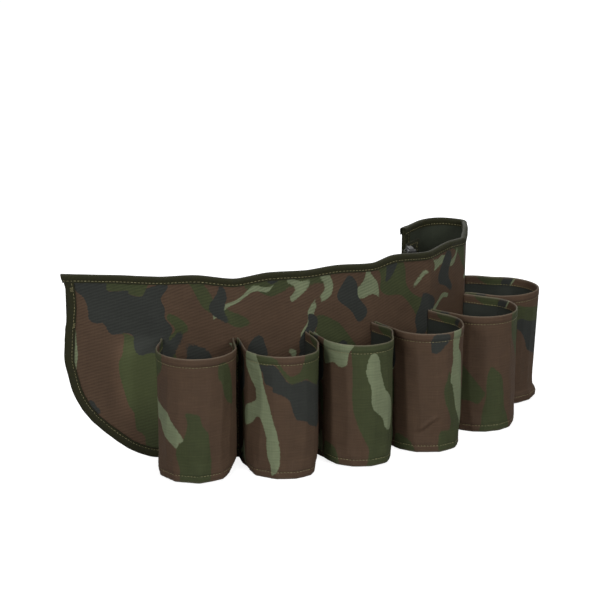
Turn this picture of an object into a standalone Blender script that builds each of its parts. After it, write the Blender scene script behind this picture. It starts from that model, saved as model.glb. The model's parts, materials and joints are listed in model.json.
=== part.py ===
"""A cloth belt with six round open-topped pockets, standing curved as it is worn.

Every pocket carries its own length of the back panel. The lengths hinge on each other
along the sewn lines between the pockets, and a wing with a waist strap hinges on each end.
The row runs along +X, its pockets face -Y and it stands on z = 0. Lengths are in metres.

In a pocket's or a wing's own frame x runs along the row to the right, y points back to the
wearer, y = 0 is the middle of the panel's thickness, and the frame stands on a sewn line.
"""

import math

import bmesh
import bpy
from mathutils import Vector

# Cloth
cloth_thickness = 0.0008
panel_thickness = 0.0012
lining_thickness = 0.0012
clearance = 0.0003

# Pockets
bottle_diameter = 0.0675
bottle_ease = 0.0002
bottle_back_gap = 0.0009
pocket_pitch = 0.066
pocket_height = 0.1105
pocket_foot_inset = 0.0021
base_thickness = 0.0012
top_hem = 0.0075
bottom_hem = 0.0065
hem_step = 0.0008
hem_bulge = 0.0004
seam_setback = 0.001

# Back panel and its edge binding
panel_height = 0.1665
binding_width = 0.0095
top_binding_width = 0.007
binding_thickness = 0.0008

# Wings
wing_length = 0.085
wing_end_height = 0.087
wing_bottom_run = 0.004
wing_seam_setback = 0.0018
wing_curve_power = 1.85
right_curl_radii = (0.012, 0.033)
right_curl_turns_deg = (40, 80)

# Layout, in degrees: positive turns wrap the row round the wearer
centre_heading_deg = 27
seam_turns_deg = (17, 9, 10, 20, 28)
left_wing_turn_deg = 9.4
right_wing_turn_deg = 35
right_strap_turn_deg = 42

# Waist strap
strap_width = 0.038
strap_thickness = 0.0013
strap_drop = 0.0345  # from the panel's top edge to the strap's middle
strap_axis_inset = 0.0012
anchor_length = 0.026
left_anchor_inset = 0.0025
right_anchor_inset = 0.0001
strap_layers = 4
strap_near_fold = 0.005
strap_far_fold = 0.068
strap_tail_length = 0.018
strap_lean_shares = (2.0, 3.0)
strap_drop_share = 0.67
left_bar_distance = 0.024
right_bar_distance = 0.026
keeper_length = 0.015
keeper_thickness = 0.001
keeper_distance = 0.052

# Buckle
buckle_width = 0.048
buckle_bar = 0.0044
buckle_slot = 0.0048
buckle_slot_play = 0.0008
buckle_corner = 0.003
buckle_edge = 0.0007
socket_length = 0.039
socket_thickness = 0.011
socket_wall = 0.0024
socket_side_wall = 0.0035
socket_window_length = 0.016
socket_window_offset = 0.009
socket_thumb_depth = 0.0022
collar_length = 0.006
collar_thickness = 0.008
guide_length = 0.027
guide_width = 0.006
prong_offset = 0.012
prong_arm = 0.0032
prong_length = 0.030
prong_head_length = 0.017
prong_reach = 0.0228
barb_land = 0.0048
barb_relief = 0.0021
guide_corner = 0.0024

# Roundness of the curves
round_steps = 16
corner_steps = 3
fold_steps = 6
side_steps = 3
curl_step_deg = 10
wing_steps = 14
leg_steps = 3
closest_stops = 0.0013
weld_distance = 0.00001

# Worked out from the sizes above
seam_radius = seam_setback - clearance
stack_half = (panel_thickness + clearance + lining_thickness) / 2
binding_gap = stack_half + clearance
binding_depth = binding_gap + binding_thickness
panel_inset = binding_thickness + clearance
bottle_radius = bottle_diameter / 2
pocket_radius = bottle_radius + bottle_ease + cloth_thickness / 2
pocket_centre = -(stack_half + bottle_back_gap + bottle_radius)
pocket_foot = pocket_pitch / 2 - pocket_foot_inset
pocket_foot_y = -(stack_half + clearance)
strap_centre_height = panel_height - strap_drop
strap_bottom = strap_centre_height - strap_width / 2
strap_top = strap_centre_height + strap_width / 2
patch_depth = binding_depth + clearance + strap_thickness / 2
left_axis = (wing_length - strap_axis_inset, patch_depth + strap_thickness / 2 + clearance / 2)
right_axis = (wing_length + clearance + strap_thickness / 2, patch_depth)
layer_pitch = strap_thickness + clearance
first_layer = (clearance + strap_thickness) / 2
left_start = strap_axis_inset + clearance
loop_radius = math.hypot(buckle_bar / 2, buckle_bar / 2) + clearance + strap_thickness / 2
pack_front = first_layer - strap_thickness / 2
pack_back = first_layer + (strap_layers - 1) * layer_pitch + strap_thickness / 2
left_bar_depth = pack_back + keeper_thickness + 3 * clearance + socket_thickness / 2
buckle_half = buckle_width / 2
slot_half = strap_width / 2 + buckle_slot_play
body_start = buckle_bar / 2 + buckle_slot


def clear_scene():
    """Remove whatever the file opened with."""
    for obj in list(bpy.data.objects):
        bpy.data.objects.remove(obj)


def new_collection(name):
    collection = bpy.data.collections.new(name)
    bpy.context.scene.collection.children.link(collection)
    return collection


def finish(name, colour, roughness):
    """A plain material of one colour."""
    made = bpy.data.materials.new(name)
    made.use_nodes = True
    made.diffuse_color = (*colour, 1)
    shader = made.node_tree.nodes["Principled BSDF"]
    shader.inputs["Base Color"].default_value = (*colour, 1)
    shader.inputs["Roughness"].default_value = roughness
    shader.inputs["Metallic"].default_value = 0
    return made


def own_finish(obj, colour, roughness):
    obj.data.materials.clear()
    obj.data.materials.append(finish(obj.name, colour, roughness))


def frame_at(name, parent, x=0.0, y=0.0, z=0.0, turn=0.0):
    """An empty on a joint's upright axis, turned about it."""
    empty = bpy.data.objects.new(name, None)
    empty.empty_display_size = pocket_pitch / 2
    belt.objects.link(empty)
    empty.parent = parent
    empty.location = (x, y, z)
    empty.rotation_euler = (0, 0, turn)
    return empty


def place(obj, parent, look):
    """Put a finished piece in the belt's collection, under its frame and in its colour."""
    belt.objects.link(obj)
    obj.parent = parent
    own_finish(obj, *looks[look])
    return obj


def loft(name, rows, thickness):
    """A sheet through rows of points, thickened evenly to both sides."""
    mesh = bpy.data.meshes.new(name)
    sheet = bmesh.new()
    grid = [[sheet.verts.new(point) for point in row] for row in rows]
    for lower, upper in zip(grid, grid[1:]):
        for i in range(len(lower) - 1):
            sheet.faces.new((lower[i], lower[i + 1], upper[i + 1], upper[i]))
    sheet.to_mesh(mesh)
    sheet.free()
    obj = bpy.data.objects.new(name, mesh)
    solidify = obj.modifiers.new("cloth thickness", "SOLIDIFY")
    solidify.thickness = thickness
    solidify.offset = 0
    solidify.use_even_offset = True
    return obj


def strip(name, path, bottom, top, thickness):
    """An upright band that follows a path seen from above."""
    return loft(name, [[Vector((x, y, z)) for x, y in path] for z in (bottom, top)], thickness)


def box(name, low, high):
    """A block between two corners."""
    mesh = bpy.data.meshes.new(name)
    block = bmesh.new()
    bmesh.ops.create_cube(block, size=1)
    low, high = Vector(low), Vector(high)
    bmesh.ops.scale(block, vec=high - low, verts=block.verts)
    bmesh.ops.translate(block, vec=(low + high) / 2, verts=block.verts)
    block.to_mesh(mesh)
    block.free()
    return bpy.data.objects.new(name, mesh)


def outline(name, loops, thickness):
    """A flat curve in its own XY plane, filled and given a thickness, its middle at z = 0."""
    curve = bpy.data.curves.new(name, "CURVE")
    curve.dimensions = "2D"
    curve.fill_mode = "BOTH"
    curve.extrude = thickness / 2
    for loop in loops:
        spline = curve.splines.new("POLY")
        spline.points.add(len(loop) - 1)
        for point, (x, y) in zip(spline.points, loop):
            point.co = (x, y, 0, 1)
        spline.use_cyclic_u = True
    return bpy.data.objects.new(name, curve)


def solid_outline(name, loops, thickness):
    """The same as a welded mesh that stands in the XZ plane, for cutting and joining."""
    flat = outline(name + " outline", loops, thickness)
    flat.rotation_euler = (math.pi / 2, 0, 0)
    bpy.context.scene.collection.objects.link(flat)
    bpy.context.view_layer.update()
    mesh = bpy.data.meshes.new_from_object(flat.evaluated_get(bpy.context.evaluated_depsgraph_get()))
    mesh.name = name
    mesh.transform(flat.matrix_world)
    bpy.data.objects.remove(flat)
    weld = bmesh.new()
    weld.from_mesh(mesh)
    bmesh.ops.remove_doubles(weld, verts=weld.verts, dist=weld_distance)
    bmesh.ops.recalc_face_normals(weld, faces=weld.faces)
    weld.to_mesh(mesh)
    weld.free()
    return bpy.data.objects.new(name, mesh)


def round_edges(obj, width):
    bevel = obj.modifiers.new("rounded edges", "BEVEL")
    bevel.width = width
    bevel.segments = 2
    bevel.limit_method = "ANGLE"
    bevel.angle_limit = math.radians(50)


def combine(obj, other, operation):
    """Cut another solid from this one, or join it on. The other is kept as a hidden cutter."""
    cutters.objects.link(other)
    other.parent = obj
    other.hide_render = True
    other.display_type = "WIRE"
    boolean = obj.modifiers.new(operation.lower(), "BOOLEAN")
    boolean.operation = operation
    boolean.object = other


def arc(centre, radius, start_deg, end_deg, steps):
    """Points round part of a circle, both ends included."""
    angles = [math.radians(start_deg + (end_deg - start_deg) * i / steps) for i in range(steps + 1)]
    return [(centre[0] + radius * math.cos(a), centre[1] + radius * math.sin(a)) for a in angles]


def rounded(corners, radius):
    """A closed outline whose corners are rounded to one radius."""
    points = []
    for before, corner, after in zip([corners[-1], *corners], corners, [*corners[1:], corners[0]]):
        corner = Vector(corner)
        back = (Vector(before) - corner).normalized()
        ahead = (Vector(after) - corner).normalized()
        half = back.angle(ahead) / 2
        reach = radius / math.tan(half)
        centre = corner + (back + ahead).normalized() * (radius / math.sin(half))
        first = corner + back * reach - centre
        last = corner + ahead * reach - centre
        for i in range(corner_steps + 1):
            share = i / corner_steps
            spoke = (first * (1 - share) + last * share).normalized() * radius
            points.append(tuple(centre + spoke))
    return points


def pocket_path(bulge=0.0):
    """The pocket's wall from above: two sides out from the sewn lines and a round front."""
    radius = pocket_radius + bulge
    centre = pocket_centre
    ends = [(-pocket_foot, pocket_foot_y), (-radius, centre)]
    left = [
        tuple(Vector(ends[0]).lerp(Vector(ends[1]), i / side_steps)) for i in range(side_steps)
    ]
    front = arc((0, centre), radius, 180, 360, round_steps)
    return left + front + [(-x, y) for x, y in reversed(left)]


def make_seam(name, frame, side=0):
    """The gathered cloth and thread of a sewn line, round on its hinge. A wing's reaches its own cloth."""
    if side:
        reach = wing_seam_setback - clearance
        points = arc((0, 0), seam_radius, 90, 270, fold_steps) + [(reach, -seam_radius), (reach, seam_radius)]
        points = [(side * x, y) for x, y in points]
    else:
        points = arc((0, 0), seam_radius, 0, 360, fold_steps * 2)[1:]
    seam = outline(name, [points], panel_height - 2 * panel_inset)
    seam.location.z = panel_height / 2
    place(seam, frame, "binding")


def make_pocket(number, frame, middle):
    """One pocket with its length of back panel: cloth outside, lining behind, binding on both edges."""
    half = pocket_pitch / 2 - seam_setback
    low, high = middle - half, middle + half
    bottom, top = panel_inset, panel_height - panel_inset
    faces = (-stack_half, -stack_half + panel_thickness, stack_half - lining_thickness, stack_half)
    place(box(f"panel_{number}", (low, faces[0], bottom), (high, faces[1], top)), frame, "camouflage")
    place(box(f"lining_{number}", (low, faces[2], bottom), (high, faces[3], top)), frame, "lining")

    depth = binding_gap + binding_thickness / 2
    edge = panel_height - binding_thickness / 2
    free = panel_height - top_binding_width
    profile = [(-depth, free), (-depth, edge), (depth, edge), (depth, free)]
    rows = [[Vector((x, y, z)) for y, z in profile] for x in (low, high)]
    place(loft(f"top_binding_{number}", rows, binding_thickness), frame, "binding")

    # The lower binding's front edge stops short of the pocket's feet
    edge = binding_thickness / 2
    profile = [(-depth, binding_width), (-depth, edge), (depth, edge), (depth, binding_width)]
    rows = [[Vector((x, y, z)) for y, z in profile] for x in (low, high)]
    lower = loft(f"bottom_binding_{number}", rows, binding_thickness)
    room = pocket_foot - cloth_thickness - clearance
    over = binding_thickness
    for name, start, end in (("left", low - over, middle - room), ("right", middle + room, high + over)):
        corner = box(f"{name} foot room {number}", (start, -binding_depth - over, -over),
                     (end, -stack_half, binding_width + over))
        combine(lower, corner, "DIFFERENCE")
    place(lower, frame, "binding")

    plain, full = pocket_path(), pocket_path(hem_bulge)
    heights = (
        (0, full), (bottom_hem, full), (bottom_hem + hem_step, plain),
        (pocket_height - top_hem - hem_step, plain), (pocket_height - top_hem, full), (pocket_height, full),
    )
    rows = [[Vector((x + middle, y, z)) for x, y in path] for z, path in heights]
    place(loft(f"pocket_{number}", rows, cloth_thickness), frame, "camouflage")

    margin = cloth_thickness / 2 + clearance
    back = -(binding_depth + clearance)
    round_front = arc((0, pocket_centre), pocket_radius - margin, 180, 360, round_steps)
    foot = pocket_foot - margin - (pocket_radius - pocket_foot) / 2
    base = outline(
        f"pocket_base_{number}", [[(middle + x, y) for x, y in [(-foot, back), *round_front, (foot, back)]]],
        base_thickness,
    )
    base.location.z = base_thickness / 2
    place(base, frame, "lining")


def wing_line(distance, curls):
    """The wing's middle line from above: how far along x, how far back, and its heading."""
    x, y, heading = 0.0, 0.0, 0.0
    for radius, turn in curls:
        run = min(distance, radius * turn)
        swept = run / radius
        x += radius * (math.sin(heading + swept) - math.sin(heading))
        y += radius * (math.cos(heading) - math.cos(heading + swept))
        heading += swept
        distance -= run
    return x + distance * math.cos(heading), y + distance * math.sin(heading), heading


def on_wing(side, curls, distance, depth, z):
    """A point of a wing, by its distance from the sewn line, its depth behind the middle and its height."""
    x, y, heading = wing_line(distance, curls)
    return Vector((side * (x - depth * math.sin(heading)), y + depth * math.cos(heading), z))


def wing_edge(curls):
    """The wing's edge as distance and height, from the sewn line's foot round to its top."""
    stops = [wing_seam_setback, wing_bottom_run]
    length = 0.0
    for radius, turn in curls:
        count = round(math.degrees(turn) / curl_step_deg)
        stops += [length + radius * turn * (i + 1) / count for i in range(count)]
        length += radius * turn
    span = wing_length - wing_bottom_run
    angles = [math.pi / 2 * (i + 1) / wing_steps for i in range(wing_steps)]
    stops += [wing_bottom_run + span * math.sin(angle) for angle in angles]
    stops = sorted(stops)
    spaced = [stops[0]]
    for stop in stops[1:]:
        if stop - spaced[-1] > closest_stops or stop == stops[-1]:
            spaced.append(stop)
    lower = []
    for stop in spaced:
        share = max(0.0, (stop - wing_bottom_run) / span)
        rise = (1 - max(0.0, 1 - share**wing_curve_power) ** (1 / wing_curve_power))
        lower.append((stop, wing_end_height * rise))
    clear_of_corner = wing_length - binding_width
    upper = [(stop, panel_height) for stop in reversed(spaced) if stop < clear_of_corner]
    return lower, [(wing_length, panel_height), *upper]


def inward(points, amount):
    """Move an open edge line to its left by an amount, with its corners kept square."""
    moved = []
    for i, point in enumerate(points):
        here = Vector(point)
        steps = []
        if i:
            steps.append((here - Vector(points[i - 1])).normalized())
        if i < len(points) - 1:
            steps.append((Vector(points[i + 1]) - here).normalized())
        normals = [Vector((-step.y, step.x)) for step in steps]
        normal = sum(normals, Vector((0, 0))).normalized()
        moved.append(here + normal * amount / normal.dot(normals[0]))
    return moved


def make_wing(side_name, side, frame, curls, anchor_inset, axis):
    """A rounded end of the belt: cloth, lining, the binding round its edge and the strap's sewn end."""
    lower, upper = wing_edge(curls)
    foot = inward(lower + upper[:1], panel_inset)[: len(lower)]
    head = [(point.x, panel_height - panel_inset) for point in foot]
    for name, look, thickness, depth in (
        ("panel", "camouflage", panel_thickness, panel_thickness / 2 - stack_half),
        ("lining", "lining", lining_thickness, stack_half - lining_thickness / 2),
    ):
        rows = [[on_wing(side, curls, s, depth, z) for s, z in row] for row in (foot, head)]
        place(loft(f"{side_name}_wing_{name}", rows, thickness), frame, look)

    edge = lower + upper
    outer = inward(edge, binding_thickness / 2)
    wide = inward(edge, binding_width)
    for point in wide[len(lower):]:
        point.y = panel_height - top_binding_width
    depth = binding_gap + binding_thickness / 2
    rows = []
    for fold, free in zip(outer, wide):
        leg = [free.lerp(fold, i / leg_steps) for i in range(leg_steps + 1)]
        front = [on_wing(side, curls, s, -depth, z) for s, z in leg]
        rows.append(front + [on_wing(side, curls, s, depth, z) for s, z in reversed(leg)])
    place(loft(f"{side_name}_wing_binding", rows, binding_thickness), frame, "binding")

    stops = [wing_length - anchor_inset - anchor_length * share for share in (1, 0)]
    path = [on_wing(side, curls, s, patch_depth, 0).xy for s in stops]
    patch = strip(f"{side_name}_strap_anchor", path, strap_bottom, strap_top, strap_thickness)
    place(patch, frame, "webbing")

    distance, depth = axis
    heading = wing_line(distance, curls)[2]
    return on_wing(side, curls, distance, depth, 0).x, on_wing(side, curls, distance, depth, 0).y, heading


def loop_round_bar(bar, leg, tail_end):
    """The strap's turn round a buckle's bar, and the tail that lies back on its own first leg."""
    x, y = bar
    near, far, last = y - loop_radius, y + loop_radius, leg + layer_pitch
    early, late = (x - loop_radius * share for share in strap_lean_shares)
    points = [(x, near)] if abs(near - leg) < weld_distance else [(early, leg), (x, near)]
    points += arc(bar, loop_radius, -90, 90, fold_steps)[1:]
    drop = far + (last - far) * strap_drop_share
    return points + [(x - buckle_bar / 2, far), (early - buckle_bar / 2, drop), (late - buckle_bar / 2, last),
                     (tail_end, last)]


def make_left_strap(frame):
    """The long end of the waist strap, folded to and fro, then round the socket's bar."""
    path = [(left_start, first_layer)]
    for layer in range(strap_layers - 1):
        depth = first_layer + layer * layer_pitch
        outward = layer % 2 == 0
        fold = strap_far_fold if outward else strap_near_fold
        turn = 180 if outward else -180
        path += arc((fold, depth + layer_pitch / 2), layer_pitch / 2, -90, turn - 90, fold_steps)
    last = first_layer + (strap_layers - 1) * layer_pitch
    leg = left_bar_depth - loop_radius
    path += arc((strap_near_fold, (last + leg) / 2), (leg - last) / 2, -90, -270, fold_steps)
    path += loop_round_bar((left_bar_distance, left_bar_depth), leg, strap_near_fold)
    place(strip("left_strap", path, strap_bottom, strap_top, strap_thickness), frame, "webbing")


def make_right_strap(frame):
    """The short end of the waist strap, sewn round the plug's bar. Its start is round on its hinge."""
    path = [(0, 0)]
    path += loop_round_bar((right_bar_distance, loop_radius), 0, right_bar_distance - strap_tail_length)
    path = [(x, -y) for x, y in path]
    strap = strip("right_strap", path, strap_bottom, strap_top, strap_thickness)
    circle = arc((0, 0), strap_thickness / 2, 0, 360, fold_steps * 2)[1:]
    rim = solid_outline("strap fold", [circle], strap_width - 2 * clearance)
    rim.rotation_euler = (math.pi / 2, 0, 0)
    rim.location.z = strap_centre_height
    combine(strap, rim, "UNION")
    place(strap, frame, "webbing")


def make_keeper(frame):
    """The band round the folded strap. Its frame is at the middle of the folds."""
    loops = []
    for grow in (clearance + keeper_thickness, clearance):
        across = (pack_back - pack_front) / 2 + grow
        tall = strap_width / 2 + grow
        loops.append(rounded([(-across, -tall), (across, -tall), (across, tall), (-across, tall)], grow))
    keeper = outline("strap_keeper", loops, keeper_length)
    keeper.rotation_euler = (math.pi / 2, 0, math.pi / 2)
    place(keeper, frame, "elastic")


def buckle_end(length):
    """The flat frame of a buckle half: its outline, and the slot that the strap goes through."""
    loops = []
    for start, end, half, corner in (
        (-buckle_bar / 2, length, buckle_half, buckle_corner),
        (buckle_bar / 2, body_start, slot_half, buckle_edge),
    ):
        loops.append(rounded([(start, -half), (end, -half), (end, half), (start, half)], corner))
    return loops


def make_socket(frame):
    """The buckle's hollow half, with a mouth for the plug and a window on each side."""
    end = body_start + socket_length
    middle = body_start + socket_window_offset + socket_window_length / 2
    ease = socket_window_length / 2
    side = [
        (body_start, buckle_half), (middle - ease - socket_thumb_depth, buckle_half),
        (middle - ease, buckle_half - socket_thumb_depth), (middle + ease, buckle_half - socket_thumb_depth),
        (middle + ease + socket_thumb_depth, buckle_half), (end, buckle_half - buckle_corner / 2),
    ]
    body = rounded(side + [(x, -z) for x, z in reversed(side)], buckle_edge)
    socket = solid_outline("buckle_socket", [body], socket_thickness)
    round_edges(socket, buckle_edge)

    cavity = socket_thickness / 2 - socket_wall
    wide = buckle_half - socket_thumb_depth - socket_side_wall / 2
    start = body_start + socket_side_wall
    over = buckle_edge
    combine(socket, box("socket mouth", (start, -cavity, -wide), (end + over, cavity, wide)), "DIFFERENCE")
    tall = buckle_half + over
    windows = box("socket windows", (middle - ease, -cavity, -tall), (middle + ease, cavity, tall))
    combine(socket, windows, "DIFFERENCE")
    tail = solid_outline("socket frame", buckle_end(body_start + socket_wall), buckle_bar)
    round_edges(tail, buckle_edge)
    combine(socket, tail, "UNION")
    place(socket, frame, "plastic")


def make_plug(frame):
    """The buckle's solid half: its frame, a thicker collar and the guide between the prongs."""
    collar_end = body_start + collar_length
    plug = solid_outline("buckle_plug", buckle_end(collar_end - clearance), buckle_bar)
    round_edges(plug, buckle_edge)
    half = collar_thickness / 2
    tall = buckle_half - buckle_corner / 2
    collar = box("plug collar", (body_start + buckle_edge, -half, -tall), (collar_end, half, tall))
    round_edges(collar, buckle_edge)
    combine(plug, collar, "UNION")
    root, tip = collar_end - collar_length / 2, collar_end + guide_length
    side = guide_width / 2
    guide = solid_outline(
        "plug guide",
        [rounded([(root, -side), (tip, -side), (tip, side), (root, side)], guide_corner)],
        buckle_bar - 2 * clearance,
    )
    combine(plug, guide, "UNION")
    place(plug, frame, "plastic")
    return collar_end


def make_prong(name, side, frame):
    """A springy arm whose barbed head snaps into the socket's window. Its frame is at its root."""
    half = prong_arm / 2
    reach = prong_reach - prong_offset
    head = prong_length - prong_head_length
    root = arc((0, 0), half, 270, 90, corner_steps * 2)
    body = [
        (head, half), (head + half, reach), (head + barb_land, reach),
        (prong_length - half, half), (prong_length, 0), (prong_length - half, -barb_relief),
    ]
    points = [(x, side * z) for x, z in root + body]
    prong = solid_outline(name, [points], buckle_bar)
    round_edges(prong, buckle_edge / 2)
    place(prong, frame, "plastic")


def chain():
    """The row from its third pocket outwards. Each frame stands on the seam that its body turns on."""
    pitch = pocket_pitch
    turns = [math.radians(turn) for turn in seam_turns_deg]
    centre = frame_at("pocket 3 frame", origin, turn=math.radians(centre_heading_deg))
    make_pocket(3, centre, 0.0)
    right = frame_at("pocket 4 frame", centre, pitch / 2, turn=turns[2])
    make_pocket(4, right, pitch / 2)
    make_seam("seam_3", right)
    for number, turn in ((5, turns[3]), (6, turns[4])):
        right = frame_at(f"pocket {number} frame", right, pitch, turn=turn)
        make_pocket(number, right, pitch / 2)
        make_seam(f"seam_{number - 1}", right)
    left = frame_at("pocket 2 frame", centre, -pitch / 2, turn=-turns[1])
    make_pocket(2, left, -pitch / 2)
    make_seam("seam_2", left)
    left = frame_at("pocket 1 frame", left, -pitch, turn=-turns[0])
    make_pocket(1, left, -pitch / 2)
    make_seam("seam_1", left)

    wing = frame_at("left wing frame", left, -pitch, turn=-math.radians(left_wing_turn_deg))
    make_seam("left_wing_seam", wing, -1)
    x, y, heading = make_wing("left", -1, wing, (), left_anchor_inset, left_axis)
    strap = frame_at("left strap frame", wing, x, y, turn=heading)
    make_left_strap(strap)
    middle = (pack_front + pack_back) / 2
    make_keeper(frame_at("keeper frame", strap, keeper_distance, middle, strap_centre_height))
    make_socket(frame_at("socket frame", strap, left_bar_distance, left_bar_depth, strap_centre_height))

    wing = frame_at("right wing frame", right, pitch, turn=math.radians(right_wing_turn_deg))
    make_seam("right_wing_seam", wing, 1)
    curls = [(radius, math.radians(turn)) for radius, turn in zip(right_curl_radii, right_curl_turns_deg)]
    x, y, heading = make_wing("right", 1, wing, curls, right_anchor_inset, right_axis)
    strap = frame_at("right strap frame", wing, x, y, turn=heading + math.radians(right_strap_turn_deg))
    make_right_strap(strap)
    plug = frame_at("plug frame", strap, right_bar_distance, -loop_radius, strap_centre_height)
    collar_end = make_plug(plug)
    root = collar_end + clearance + prong_arm / 2
    for name, side in (("upper", 1), ("lower", -1)):
        pivot = frame_at(f"{name} prong frame", plug, root, z=side * prong_offset)
        make_prong(f"{name}_prong", side, pivot)


def world_bounds():
    """The lowest and highest corners of every piece together."""
    bpy.context.view_layer.update()
    graph = bpy.context.evaluated_depsgraph_get()
    corners = []
    for obj in belt.objects:
        if obj.type == "EMPTY":
            continue
        evaluated = obj.evaluated_get(graph)
        mesh = evaluated.to_mesh()
        corners += [evaluated.matrix_world @ vert.co for vert in mesh.vertices]
        evaluated.to_mesh_clear()
    return [[pick(corner[i] for corner in corners) for i in range(3)] for pick in (min, max)]


looks = {
    "camouflage": ((0.062, 0.056, 0.036), 0.75),
    "lining": ((0.022, 0.025, 0.018), 0.8),
    "binding": ((0.027, 0.027, 0.011), 0.7),
    "webbing": ((0.018, 0.019, 0.014), 0.65),
    "elastic": ((0.012, 0.012, 0.011), 0.7),
    "plastic": ((0.010, 0.010, 0.010), 0.4),
}

clear_scene()
belt = new_collection("bottle belt")
cutters = new_collection("cutters")
cutters.hide_render = True
origin = frame_at("belt origin", None)
chain()

# The origin lies under the middle of the whole belt
lowest, highest = world_bounds()
origin.location = (-(lowest[0] + highest[0]) / 2, -(lowest[1] + highest[1]) / 2, 0)
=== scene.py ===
import json
import math
import random

import bmesh
import bpy
import numpy as np
from mathutils import Matrix, Vector


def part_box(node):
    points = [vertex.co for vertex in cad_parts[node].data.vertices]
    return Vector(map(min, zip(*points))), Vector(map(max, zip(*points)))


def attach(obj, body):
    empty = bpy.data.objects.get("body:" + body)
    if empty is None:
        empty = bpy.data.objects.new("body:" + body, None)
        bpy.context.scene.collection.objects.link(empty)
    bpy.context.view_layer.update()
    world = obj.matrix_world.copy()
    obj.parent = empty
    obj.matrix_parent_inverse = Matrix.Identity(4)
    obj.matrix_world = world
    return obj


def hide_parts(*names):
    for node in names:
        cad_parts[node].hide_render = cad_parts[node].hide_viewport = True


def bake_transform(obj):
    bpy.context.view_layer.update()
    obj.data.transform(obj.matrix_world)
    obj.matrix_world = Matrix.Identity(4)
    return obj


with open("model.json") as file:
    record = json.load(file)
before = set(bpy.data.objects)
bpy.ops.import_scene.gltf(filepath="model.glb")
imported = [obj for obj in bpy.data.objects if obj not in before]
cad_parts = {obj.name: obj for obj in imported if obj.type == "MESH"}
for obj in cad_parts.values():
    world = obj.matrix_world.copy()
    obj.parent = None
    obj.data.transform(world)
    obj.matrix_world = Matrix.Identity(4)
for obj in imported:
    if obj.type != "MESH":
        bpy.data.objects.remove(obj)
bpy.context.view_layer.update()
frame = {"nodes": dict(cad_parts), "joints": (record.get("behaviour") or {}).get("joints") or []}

mm = 0.001

# Sizes, in millimetres
pitch = 66.0
row_end = 6 * pitch
panel_height = 166.5
pocket_height = 110.5
pocket_radius = 34.35
pocket_centre = -36.0
pocket_foot = 30.9
foot_depth = -1.72
side_seam = 31.75
turned_edge = 1.4
floor_depth = -2.68
floor_reach = 34.0
wing_length = 85.0
wing_end_height = 87.0
wing_bottom_run = 4.0
wing_curve_power = 1.85
curls = ((12.0, math.radians(40)), (33.0, math.radians(80)))
cloth_depth = 0.75
cloth_thickness = 1.05
pocket_cloth = 0.7
edge_inset = 1.3
binding_cloth = 0.7
tape_step = 1.1
stitch_inset = 7.4
stitch_depth = 1.88
tape_stitch, seam_stitch, pocket_stitch, strap_stitch = 3.1, 3.0, 2.9, 2.8
seam_low, seam_high = 10.5, 108.5
bead_share = 0.76
thread_lift = 0.03
tape_thread_lift = 0.02
hinge_round = 3.0
clearance = 0.3
bar_size = 4.4
webbing_depth = 1.3
strap_cloth = 1.2
strap_width = 38.0
strap_height = 132.0
strap_low, strap_high = strap_height - strap_width / 2, strap_height + strap_width / 2
strap_axis = {"left": (83.8, 4.2), "right": (85.95, 3.4)}
left_bar, right_bar_reach = (24.0, 13.65), 26.0
near_fold, far_fold = 5.0, 68.0
anchor_depth = 3.4
anchor_ends = {"left": (81.6, 56.5), "right": (84.9, 58.9)}
keeper_stack, keeper_round = 6.1, 0.8

# Where the row stands
joints = {joint["name"]: joint for joint in frame["joints"]}


def joint_at(name):
    x, y, _ = joints[name]["pos_m"]
    return np.array([x, y]) / mm


seam_joints = ["left_wing_wrap", *(f"seam_{n}_{n + 1}" for n in range(1, 6)), "right_wing_open"]
seams = [joint_at(name) for name in seam_joints]
pocket_headings = [math.atan2(*(b - a)[::-1]) for a, b in zip(seams, seams[1:])]


def curl_line(distance):
    """The right wing's middle line from above: along, back and heading at each distance."""
    distance = np.asarray(distance, float)
    x, y, heading = np.zeros_like(distance), np.zeros_like(distance), np.zeros_like(distance)
    left = distance.copy()
    for radius, turn in curls:
        swept = np.clip(left, 0, radius * turn) / radius
        x += radius * (np.sin(heading + swept) - np.sin(heading))
        y += radius * (np.cos(heading) - np.cos(heading + swept))
        heading += swept
        left -= swept * radius
    return x + left * np.cos(heading), y + left * np.sin(heading), heading


def wing_heading(side, strap_joint):
    """A wing's heading, from where its strap's hinge stands."""
    distance, depth = strap_axis[side]
    if side == "left":
        local, seam = np.array([-distance, depth]), seams[0]
    else:
        x, y, heading = curl_line(distance)
        local, seam = np.array([x - depth * np.sin(heading), y + depth * np.cos(heading)]), seams[-1]
    world = joint_at(strap_joint) - seam
    return math.atan2(world[1], world[0]) - math.atan2(local[1], local[0])


left_heading = wing_heading("left", "left_strap_unfold")
right_heading = wing_heading("right", "right_strap_swing")
headings = [left_heading, *pocket_headings, right_heading]


def turned(heading, x, y):
    return x * np.cos(heading) - y * np.sin(heading), x * np.sin(heading) + y * np.cos(heading)


def straight_line(s):
    """The belt's middle line with sharp turns at the seams: x, y and heading at each distance."""
    s = np.asarray(s, float)
    part = np.clip(np.floor(s / pitch), -1, 6).astype(int)
    x, y, heading = np.zeros_like(s), np.zeros_like(s), np.zeros_like(s)
    for k in range(-1, 7):
        here = part == k
        seam = seams[max(k, 0)]
        turn = headings[k + 1]
        if k == 6:
            lx, ly, curl = curl_line(s[here] - row_end)
        else:
            lx, ly, curl = s[here] - max(k, 0) * pitch, 0.0, 0.0
        wx, wy = turned(turn, lx, ly)
        x[here], y[here], heading[here] = seam[0] + wx, seam[1] + wy, turn + curl
    return x, y, heading


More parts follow.
